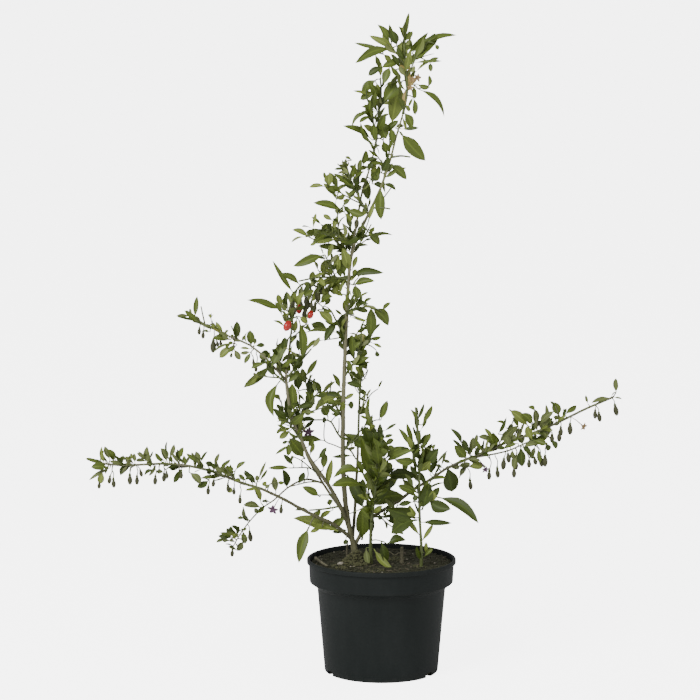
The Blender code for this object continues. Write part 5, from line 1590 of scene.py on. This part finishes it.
def soil_height(x, y):
    """Height of the lumpy soil: clods, crumbs, a mossy mound round the main stem and a settled edge."""
    place = Vector((x, y, 0.0))
    lumps = noise.fractal(place * CLOD_SCALE, *CLOD_NOISE)
    crumbs = sum(noise.noise(place * scale) * height for scale, height in CRUMB_SCALES)
    near_stem = math.exp(-((place - MOUND).length / MOUND_SPREAD) ** 2) * MOUND_RISE
    edge = max(0.0, (place.length - SOIL_EDGE * 0.9) / (SOIL_EDGE * 0.1)) * -EDGE_DROP
    return SOIL_TOP + (lumps + crumbs + near_stem + edge) * MM


def build_soil(settings):
    """The soil: a plain body with a lumpy top."""
    turns = [math.tau * k / SOIL_STEPS for k in range(SOIL_STEPS)]
    circle = [Vector((math.cos(turn), math.sin(turn), 0.0)) for turn in turns]
    rows = [[Vector((0.0, 0.0, SOIL_FLOOR))] * SOIL_STEPS,
            [out * (BODY_FOOT_RADIUS - SOIL_FOOT_GAP) + UP * SOIL_FLOOR for out in circle],
            [out * (SOIL_EDGE - SOIL_SIDE_GAP) + UP * SOIL_SHOULDER * MM for out in circle]]
    for r in range(SOIL_RINGS, -1, -1):
        radius = SOIL_EDGE * r / SOIL_RINGS
        places = [(radius * math.cos(turn), radius * math.sin(turn)) for turn in turns]
        rows.append([Vector((x, y, soil_height(x, y))) for x, y in places])
    parts = MeshParts()
    parts.add_grid(rows, True)
    piece = parts.build("soil_surface", soil_finish(settings))
    weld(piece)
    return piece


def weld(piece):
    """Merges points that lie together and turns the faces outwards."""
    bm = bmesh.new()
    bm.from_mesh(piece.data)
    bmesh.ops.remove_doubles(bm, verts=bm.verts[:], dist=SOIL_WELD)
    bmesh.ops.dissolve_degenerate(bm, dist=SOIL_WELD / 2, edges=bm.edges[:])
    bmesh.ops.recalc_face_normals(bm, faces=bm.faces[:])
    bm.to_mesh(piece.data)
    bm.free()


def litter_rows(length, width, height, sides, rng):
    """Rows of points for a rough lump: rounded, uneven and a little crooked."""
    rows = []
    for r in range(sides + 1):
        share = r / sides
        girth = max(0.04, math.sin(math.pi * share) ** 0.6)
        shift = Vector([rng.uniform(-LUMP_SHIFT, LUMP_SHIFT) for _ in range(2)] + [0.0]) * width
        ahead = Vector(((share - 0.5) * length, 0.0, 0.0))
        row = []
        for k in range(sides):
            turn = math.tau * k / sides
            rough = rng.uniform(*LUMP_ROUGHNESS)
            row.append(Vector((0.0, width / 2 * math.cos(turn) * girth * rough,
                               height / 2 * math.sin(turn) * girth * rough)) + shift + ahead)
        rows.append(row)
    return rows


def lay_litter(parts, rng, count, lump, centre=Vector(), reach=LITTER_REACH):
    """Scatters lumps over the soil round a centre, each lying on its surface at a turn of its own."""
    for _ in range(count):
        radius = reach * math.sqrt(rng.random())
        turn = rng.uniform(0.0, math.tau)
        x, y = centre.x + radius * math.cos(turn), centre.y + radius * math.sin(turn)
        size = rng.uniform(*lump.length)
        width = size * lump.slim * rng.uniform(*LITTER_WIDTH)
        height = width * lump.flat
        turned = Matrix.Rotation(rng.uniform(0.0, math.tau), 4, "Z")
        tilted = Matrix.Rotation(rng.uniform(-LITTER_TILT, LITTER_TILT), 4, "Y")
        seat = Matrix.Translation((x, y, soil_height(x, y) + height * LITTER_SEAT)) @ (turned @ tilted)
        rows = litter_rows(size, width, height, lump.sides, rng)
        parts.add_grid([[seat @ point for point in row] for row in rows], True)


def limb_radius(limb, share, above):
    """Radius of a limb at a share of its length, with the root flare of one that stands in the soil."""
    radius = (limb.foot_radius + (limb.tip_radius - limb.foot_radius) * share) * MM + LIMB_SPARE
    if limb.name == "main_stem":
        radius += ROOT_FLARE * math.exp(-max(above, 0.0) / FLARE_RUN)
    return radius


def bark_noise(turn, done, fine_round, fine_along):
    """Noise at a turn round a limb and a place along it, and how fine it is each way."""
    return noise.noise(Vector((math.cos(turn) * fine_round, math.sin(turn) * fine_round, done * fine_along)))


def bark_relief(limb):
    """Ridges along the bark, knots at the nodes, and root lobes at the foot of the main stem."""
    depth = SHOOT_BARK_DEPTH if limb.name.endswith("shoot") else BARK_DEPTH

    def relief(point, turn, done):
        ridges = bark_noise(turn, done, *RIDGES) * depth
        fissures = -abs(bark_noise(turn, done, *FISSURES)) * depth
        knots = max(0.0, math.cos(math.tau * done / KNOT_GAP)) ** KNOT_SHARPNESS * KNOT_RISE
        lobes = 0.0
        if limb.name == "main_stem":
            above = max(point.z - GROUND, 0.0)
            lobes = LOBE_RISE * math.cos(turn * ROOT_LOBES + LOBE_TURN) * math.exp(-above / FLARE_RUN)
        return ridges + fissures + knots + lobes

    return relief


def build_limb(limb, finish):
    """One stem or bough, with its bark's relief; one that stands in the soil runs a little way into it."""
    path = smooth_path(LIMB_PATHS[limb.name], RING_STEP)
    if not limb.parent:
        path = [point for point in path if point.z > GROUND - STEM_SINK]
    parts = MeshParts()
    add_tube(parts, path, lambda share, point: limb_radius(limb, share, point.z - GROUND), STEM_SIDES,
             bark_relief(limb))
    return parts.build(f"{limb.name}_bark", finish)


def twig_radius(foot):
    """Radius along a twig from its solid's at the foot, a little fuller than that."""
    foot *= 1.0 + TWIG_SPARE
    end = max(TWIG_END, foot * TWIG_TAPER)
    return lambda share, point: foot + (end - foot) * share


def build_twigs(masses, name, finish):
    """All the twigs of some masses, as one mesh of fine tubes."""
    parts = MeshParts()
    for mass in masses:
        for path, foot in whole_growth()[mass.name].twigs:
            add_tube(parts, smooth_path(path, TWIG_RING_STEP), twig_radius(foot), TWIG_SIDES)
    return parts.build(name, finish)


def build_leaves(tone_name, settings):
    """Every leaf of one tone, as one mesh."""
    parts = MeshParts()
    rng = random.Random(LEAF_SEED)
    for growth in whole_growth().values():
        for leaf in growth.leaves:
            fold = rng.uniform(0.5, 1.3) * settings.fold
            if leaf.tone == tone_name:
                add_leaf(parts, leaf, fold, rng)
            else:
                for _ in range(LEAF_DRAWS):
                    rng.random()
    return parts.build(f"leaves_{tone_name}", leaf_finish(tone_name, LEAF_TONES[tone_name]))


def fruit_width(fruit):
    return fruit.length * RIPE_GIRTH if fruit.ripe else fruit.length * GREEN_GIRTH + GREEN_THICKNESS


def fruit_top(fruit):
    """Where the stalk meets the fruit, which hangs nearly straight down."""
    way = ((fruit.root - fruit.bottom).normalized() + UP * 0.5).normalized()
    return fruit.bottom + way * min(fruit.length, (fruit.root - fruit.bottom).length * 0.9)


def build_fruit(name, ripe, finish):
    """Ripe or green fruits, as one mesh of drops."""
    parts = MeshParts()
    for growth in whole_growth().values():
        for fruit in growth.fruits:
            if fruit.ripe == ripe:
                add_drop(parts, fruit_top(fruit), fruit.bottom, fruit_width(fruit),
                         RIPE_SKEW if ripe else GREEN_SKEW)
    return parts.build(name, finish)


def stalk_radius(half):
    """Radius along a fruit's stalk, which ends in a cup about half as wide as the fruit."""
    return lambda share, point: STALK_RADIUS + max(0.0, share - CUP_START) / (1.0 - CUP_START) * half * 0.5


def build_stalks(finish):
    """The fruits' stalks, each widening into the cup that holds its fruit."""
    parts = MeshParts()
    for growth in whole_growth().values():
        for fruit in growth.fruits:
            top = fruit_top(fruit)
            bow = (fruit.root - top).length * STALK_BOW
            middle = (fruit.root + top) / 2 + Vector((bow, 0.0, bow * 0.5))
            cup = top + (fruit.bottom - top) * CUP_REACH
            path = smooth_path([fruit.root, middle, top, cup], STALK_RING_STEP)
            add_tube(parts, path, stalk_radius(fruit_width(fruit) / 2), STALK_SIDES)
    return parts.build("fruit_stalks", finish)


def add_flower(parts, place, facing, size, rng):
    """A small star flower of pointed petals that cup forward."""
    across = facing.orthogonal().normalized()
    over = facing.cross(across)
    for petal in range(PETALS):
        turn = math.tau * petal / PETALS + rng.uniform(-PETAL_TURN, PETAL_TURN)
        out = direction_at(turn, across, over)
        side = facing.cross(out)
        rows = []
        for r in range(PETAL_ROWS + 1):
            share = r / PETAL_ROWS
            middle = place + out * size * share + facing * size * (PETAL_CUP * math.sin(share * 2.4))
            half = size * PETAL_HALF * max(0.03, math.sin(math.pi * (0.15 + 0.85 * share)) ** 0.8)
            rows.append([middle - side * half, middle + facing * half * -0.2, middle + side * half])
        parts.add_grid(rows, False)


def build_flowers(name, withered, finish):
    """The open or withered flowers, each on its stalk."""
    parts = MeshParts()
    rng = random.Random(FLOWER_SEED)
    for growth in whole_growth().values():
        for flower in growth.flowers:
            if flower.withered == withered:
                way = flower.middle - flower.root
                add_tube(parts, [flower.root, flower.root + way * 0.5 + UP * MM, flower.middle],
                         lambda share, point: (0.4 + 0.5 * share) * MM, STALK_SIDES)
                facing = (way.normalized() + TO_CAMERA).normalized()
                add_flower(parts, flower.middle, facing, flower.petal, rng)
    return parts.build(name, finish)


class PotSettings(bpy.types.PropertyGroup):
    colour: FloatVectorProperty(name="Colour", description="Tint of the moulded pot", subtype="COLOR",
                                default=(0.0120, 0.0145, 0.0138))
    worn_colour: FloatVectorProperty(name="Worn colour", description="Tint where the pot is rubbed",
                                     subtype="COLOR", default=(0.0190, 0.0220, 0.0212))
    dust_colour: FloatVectorProperty(name="Dust colour", description="Tint of the dust at the foot",
                                     subtype="COLOR", default=(0.034, 0.035, 0.031))
    roughness: FloatProperty(name="Roughness", description="Roughness of the plastic", default=0.52)


class SoilSettings(bpy.types.PropertyGroup):
    colour: FloatVectorProperty(name="Colour", description="Tint of the damp peat", subtype="COLOR",
                                default=(0.016, 0.0155, 0.0075))
    crumb_colour: FloatVectorProperty(name="Crumb colour", description="Tint of the drier crumbs",
                                      subtype="COLOR", default=(0.048, 0.050, 0.026))
    moss_colour: FloatVectorProperty(name="Moss colour", description="Tint of the moss", subtype="COLOR",
                                     default=(0.042, 0.048, 0.016))
    dry_moss_colour: FloatVectorProperty(name="Dry moss colour", description="Tint of the dry moss",
                                         subtype="COLOR", default=(0.084, 0.080, 0.036))
    crumbs: IntProperty(name="Crumbs", description="How many crumbs lie on the soil", default=900)


class StemSettings(bpy.types.PropertyGroup):
    bark_colour: FloatVectorProperty(name="Bark colour", description="Pale ridges of the bark",
                                     subtype="COLOR", default=(0.116, 0.112, 0.058))
    bark_shade: FloatVectorProperty(name="Bark shade", description="Furrows of the bark", subtype="COLOR",
                                    default=(0.050, 0.047, 0.026))
    pale_colour: FloatVectorProperty(name="Pale bark colour", description="Tint of the bark halfway up",
                                     subtype="COLOR", default=(0.172, 0.164, 0.100))
    young_colour: FloatVectorProperty(name="Young bark colour", description="Tint of the bark high up",
                                      subtype="COLOR", default=(0.150, 0.160, 0.070))
    shoot_colour: FloatVectorProperty(name="Shoot colour", description="Tint of the green shoots",
                                      subtype="COLOR", default=(0.105, 0.130, 0.040))
    shoot_shade: FloatVectorProperty(name="Shoot shade", description="Darker tint of the green shoots",
                                     subtype="COLOR", default=(0.065, 0.085, 0.025))
    twig_colour: FloatVectorProperty(name="Twig colour", description="Tint of the woody twigs",
                                     subtype="COLOR", default=(0.140, 0.136, 0.088))


class LeafSettings(bpy.types.PropertyGroup):
    fold: FloatProperty(name="Fold", description="How far a leaf is folded along its midrib", default=0.42,
                        subtype="FACTOR")


class FruitSettings(bpy.types.PropertyGroup):
    ripe_colour: FloatVectorProperty(name="Ripe colour", description="Tint of the ripe berries",
                                     subtype="COLOR", default=(0.440, 0.022, 0.016))
    green_colour: FloatVectorProperty(name="Green colour", description="Tint of the unripe fruits",
                                      subtype="COLOR", default=(0.056, 0.062, 0.017))
    flower_colour: FloatVectorProperty(name="Flower colour", description="Tint of the open flowers",
                                       subtype="COLOR", default=(0.120, 0.055, 0.105))
    faded_colour: FloatVectorProperty(name="Faded colour", description="Tint of the withered flowers",
                                      subtype="COLOR", default=(0.380, 0.255, 0.110))


class StageSettings(bpy.types.PropertyGroup):
    floor_colour: FloatVectorProperty(name="Floor colour", description="Tint of the pale floor",
                                      subtype="COLOR", default=(0.92, 0.92, 0.92))
    sky_strength: FloatProperty(name="Sky strength", description="Strength of the even light all round",
                                default=0.55)
    key_power: FloatProperty(name="Key light", description="Power of the large soft light, in watts",
                             default=115.0)
    glow: FloatProperty(name="Floor glow", description="How brightly the floor shows behind the bush",
                        default=5.0)


SETTINGS = {"bush_pot": PotSettings, "bush_soil": SoilSettings, "bush_stem": StemSettings,
            "bush_leaf": LeafSettings, "bush_fruit": FruitSettings, "bush_stage": StageSettings}


class BUSH_OT_pot(bpy.types.Operator):
    """Builds the moulded pot"""

    bl_idname = "bush.pot"
    bl_label = "Pot"

    def execute(self, context):
        piece = turned_mesh("pot_shell", pot_profile(), POT_STEPS)
        cut_with(piece, pot_cutters())
        piece.data.materials.clear()
        piece.data.materials.append(pot_finish(context.scene.bush_pot))
        soften(piece, POT_SHARP)
        place_piece(piece, "moulded_plastic", "pot")
        return {"FINISHED"}


class BUSH_OT_soil(bpy.types.Operator):
    """Builds the soil with its crumbs, bark chips, stones and moss"""

    bl_idname = "bush.soil"
    bl_label = "Soil"

    def execute(self, context):
        settings = context.scene.bush_soil
        place_piece(build_soil(settings), "peat_soil", "soil")
        rng = random.Random(LITTER_SEED)
        kinds = (
            ("soil_crumbs", settings.crumbs, CRUMB,
             Finish("crumbs", settings.colour, settings.crumb_colour, 500.0, roughness=0.95,
                    relief=0.3 * MM)),
            ("bark_chips", CHIPS, CHIP,
             Finish("bark_chips", *CHIP_TINTS, 300.0, roughness=0.9, relief=0.2 * MM)),
            ("small_stones", STONES, STONE, Finish("stones", *STONE_TINTS, 400.0, roughness=0.8)),
        )
        for name, count, lump, finish in kinds:
            parts = MeshParts()
            lay_litter(parts, rng, count, lump)
            if lump is STONE:
                lay_litter(parts, rng, 1, LARGE_STONE, PEBBLE, 0.0)
            place_piece(parts.build(name, finish.material), "peat_soil", "soil")
        moss = Finish("moss", settings.moss_colour, settings.dry_moss_colour, 260.0, roughness=0.95,
                      relief=0.4 * MM)
        parts = MeshParts()
        for centre, reach, count in MOSS:
            lay_litter(parts, rng, count, TUFT, centre * MM, reach * MM)
        place_piece(parts.build("moss_tufts", moss.material), "peat_soil", "soil")
        wood = Finish("old_wood", *OLD_WOOD_TINTS, 300.0, stretch=(1.0, 1.0, 0.3), roughness=0.9)
        parts = MeshParts()
        for radius, points in DEBRIS:
            path = smooth_path(in_metres(points), 3.0 * MM)
            add_tube(parts, path, lambda share, point: radius * MM * (1.0 - 0.3 * share), 9,
                     lambda point, turn, done: noise.noise(point * 400.0) * 0.3)
        place_piece(parts.build("old_stubs", wood.material), "peat_soil", "soil")
        return {"FINISHED"}


class BUSH_OT_stems(bpy.types.Operator):
    """Builds the stems and boughs with their bark"""

    bl_idname = "bush.stems"
    bl_label = "Stems and boughs"

    def execute(self, context):
        settings = context.scene.bush_stem
        bark, green = bark_finish(settings), green_stem_finish(settings)
        for limb in LIMBS:
            young = limb.name.endswith("shoot")
            slot = "green_stem" if young else "bark"
            place_piece(build_limb(limb, green if young else bark), slot, limb.name)
        return {"FINISHED"}


class BUSH_OT_twigs(bpy.types.Operator):
    """Builds the twigs of every mass of foliage"""

    bl_idname = "bush.twigs"
    bl_label = "Twigs"

    def execute(self, context):
        settings = context.scene.bush_stem
        woody = [mass for mass in MASSES if mass.habit is FRUITING]
        green = [mass for mass in MASSES if mass.habit is not FRUITING]
        for masses, name, finish in ((woody, "woody_twigs", twig_finish(settings)),
                                     (green, "green_twigs", green_stem_finish(settings))):
            place_piece(build_twigs(masses, name, finish), "green_stem", *[mass.name for mass in masses])
        return {"FINISHED"}


class BUSH_OT_leaves(bpy.types.Operator):
    """Builds every leaf, one mesh for each tone"""

    bl_idname = "bush.leaves"
    bl_label = "Leaves"

    def execute(self, context):
        for tone in LEAF_TONES:
            piece = build_leaves(tone, context.scene.bush_leaf)
            place_piece(piece, "leaf_green", *[mass.name for mass in MASSES])
        return {"FINISHED"}


class BUSH_OT_fruit(bpy.types.Operator):
    """Builds the ripe and green fruits on their stalks"""

    bl_idname = "bush.fruit"
    bl_label = "Fruit"

    def execute(self, context):
        settings = context.scene.bush_fruit
        bearing = [name for name, growth in whole_growth().items() if growth.fruits]
        ripe = fruit_finish("ripe_berry", settings.ripe_colour, 0.75, 0.22)
        green = fruit_finish("green_fruit", settings.green_colour, 0.6, 0.7)
        place_piece(build_fruit("ripe_berries", True, ripe), "leaf_green", *bearing)
        place_piece(build_fruit("green_fruits", False, green), "leaf_green", *bearing)
        stalks = green_stem_finish(context.scene.bush_stem)
        place_piece(build_stalks(stalks), "leaf_green", *bearing)
        return {"FINISHED"}


class BUSH_OT_flowers(bpy.types.Operator):
    """Builds the few open and withered flowers"""

    bl_idname = "bush.flowers"
    bl_label = "Flowers"

    def execute(self, context):
        settings = context.scene.bush_fruit
        for name, withered, tint in (("open_flowers", False, settings.flower_colour),
                                     ("withered_flowers", True, settings.faded_colour)):
            finish = fruit_finish(name, tint, 0.6, 0.7)
            bearing = [mass for mass, growth in whole_growth().items()
                       if any(flower.withered == withered for flower in growth.flowers)]
            place_piece(build_flowers(name, withered, finish), "leaf_green", *bearing)
        return {"FINISHED"}


class BUSH_OT_stage(bpy.types.Operator):
    """Sets up the pale floor, the soft light and the camera"""

    bl_idname = "bush.stage"
    bl_label = "Stage"

    def execute(self, context):
        scene = context.scene
        settings = scene.bush_stage
        bm = bmesh.new()
        bmesh.ops.create_grid(bm, x_segments=1, y_segments=1, size=FLOOR_SIZE / 2)
        mesh = bpy.data.meshes.new("floor")
        bm.to_mesh(mesh)
        bm.free()
        tint = settings.floor_colour
        finish = Finish("floor", tint, dimmed(tint, 0.985), 0.5, roughness=0.9, specular=0.1)
        seen = finish.tree.nodes.new("ShaderNodeLightPath")
        glow = mixed_colour(finish.tree, seen.outputs["Is Camera Ray"], (0.0, 0.0, 0.0, 1.0),
                            (1.0, 1.0, 1.0, 1.0))
        set_inputs(finish.tree, finish.shader, Emission_Color=glow, Emission_Strength=settings.glow)
        mesh.materials.append(finish.material)
        floor = bpy.data.objects.new("floor", mesh)
        scene.collection.objects.link(floor)
        sky = bpy.data.worlds.new("soft_sky")
        sky.use_nodes = True
        set_inputs(sky.node_tree, sky.node_tree.nodes["Background"], Color=(1.0, 1.0, 1.0, 1.0),
                   Strength=settings.sky_strength)
        scene.world = sky
        for name, place, size, share in LIGHTS:
            light = bpy.data.lights.new(name, "AREA")
            light.size = size
            light.energy = settings.key_power * share
            lamp = bpy.data.objects.new(name, light)
            lamp.location = place
            lamp.rotation_euler = (LIGHTS_AIM - Vector(place)).to_track_quat("-Z", "Y").to_euler()
            scene.collection.objects.link(lamp)
        lens = bpy.data.cameras.new("camera")
        lens.lens = CAMERA_LENS
        lens.clip_end = FLOOR_SIZE * 2
        camera = bpy.data.objects.new("camera", lens)
        camera.location = CAMERA_PLACE
        camera.rotation_euler = (CAMERA_TILT, 0.0, 0.0)
        scene.collection.objects.link(camera)
        scene.camera = camera
        return {"FINISHED"}


PIECES = (BUSH_OT_pot, BUSH_OT_soil, BUSH_OT_stems, BUSH_OT_twigs, BUSH_OT_leaves, BUSH_OT_fruit,
          BUSH_OT_flowers, BUSH_OT_stage)


class BUSH_PT_panel(bpy.types.Panel):
    """Lists the pieces of the bush"""

    bl_idname = "BUSH_PT_panel"
    bl_label = "Potted goji bush"
    bl_space_type = "VIEW_3D"
    bl_region_type = "UI"
    bl_category = "Bush"

    def draw(self, context):
        for name, group in SETTINGS.items():
            box = self.layout.box()
            for field_name in group.__annotations__:
                box.prop(getattr(context.scene, name), field_name)
        for piece in PIECES:
            self.layout.operator(piece.bl_idname)


def register():
    for group in SETTINGS.values():
        bpy.utils.register_class(group)
    for piece in PIECES:
        bpy.utils.register_class(piece)
    bpy.utils.register_class(BUSH_PT_panel)
    for name, group in SETTINGS.items():
        setattr(bpy.types.Scene, name, PointerProperty(type=group))


def unregister():
    for name in SETTINGS:
        delattr(bpy.types.Scene, name)
    bpy.utils.unregister_class(BUSH_PT_panel)
    for piece in reversed(PIECES):
        bpy.utils.unregister_class(piece)
    for group in reversed(SETTINGS.values()):
        bpy.utils.unregister_class(group)


def main():
    register()
    bpy.ops.bush.pot()
    bpy.ops.bush.soil()
    bpy.ops.bush.stems()
    bpy.ops.bush.twigs()
    bpy.ops.bush.leaves()
    bpy.ops.bush.fruit()
    bpy.ops.bush.flowers()
    bpy.ops.bush.stage()


if __name__ == "__main__":
    main()
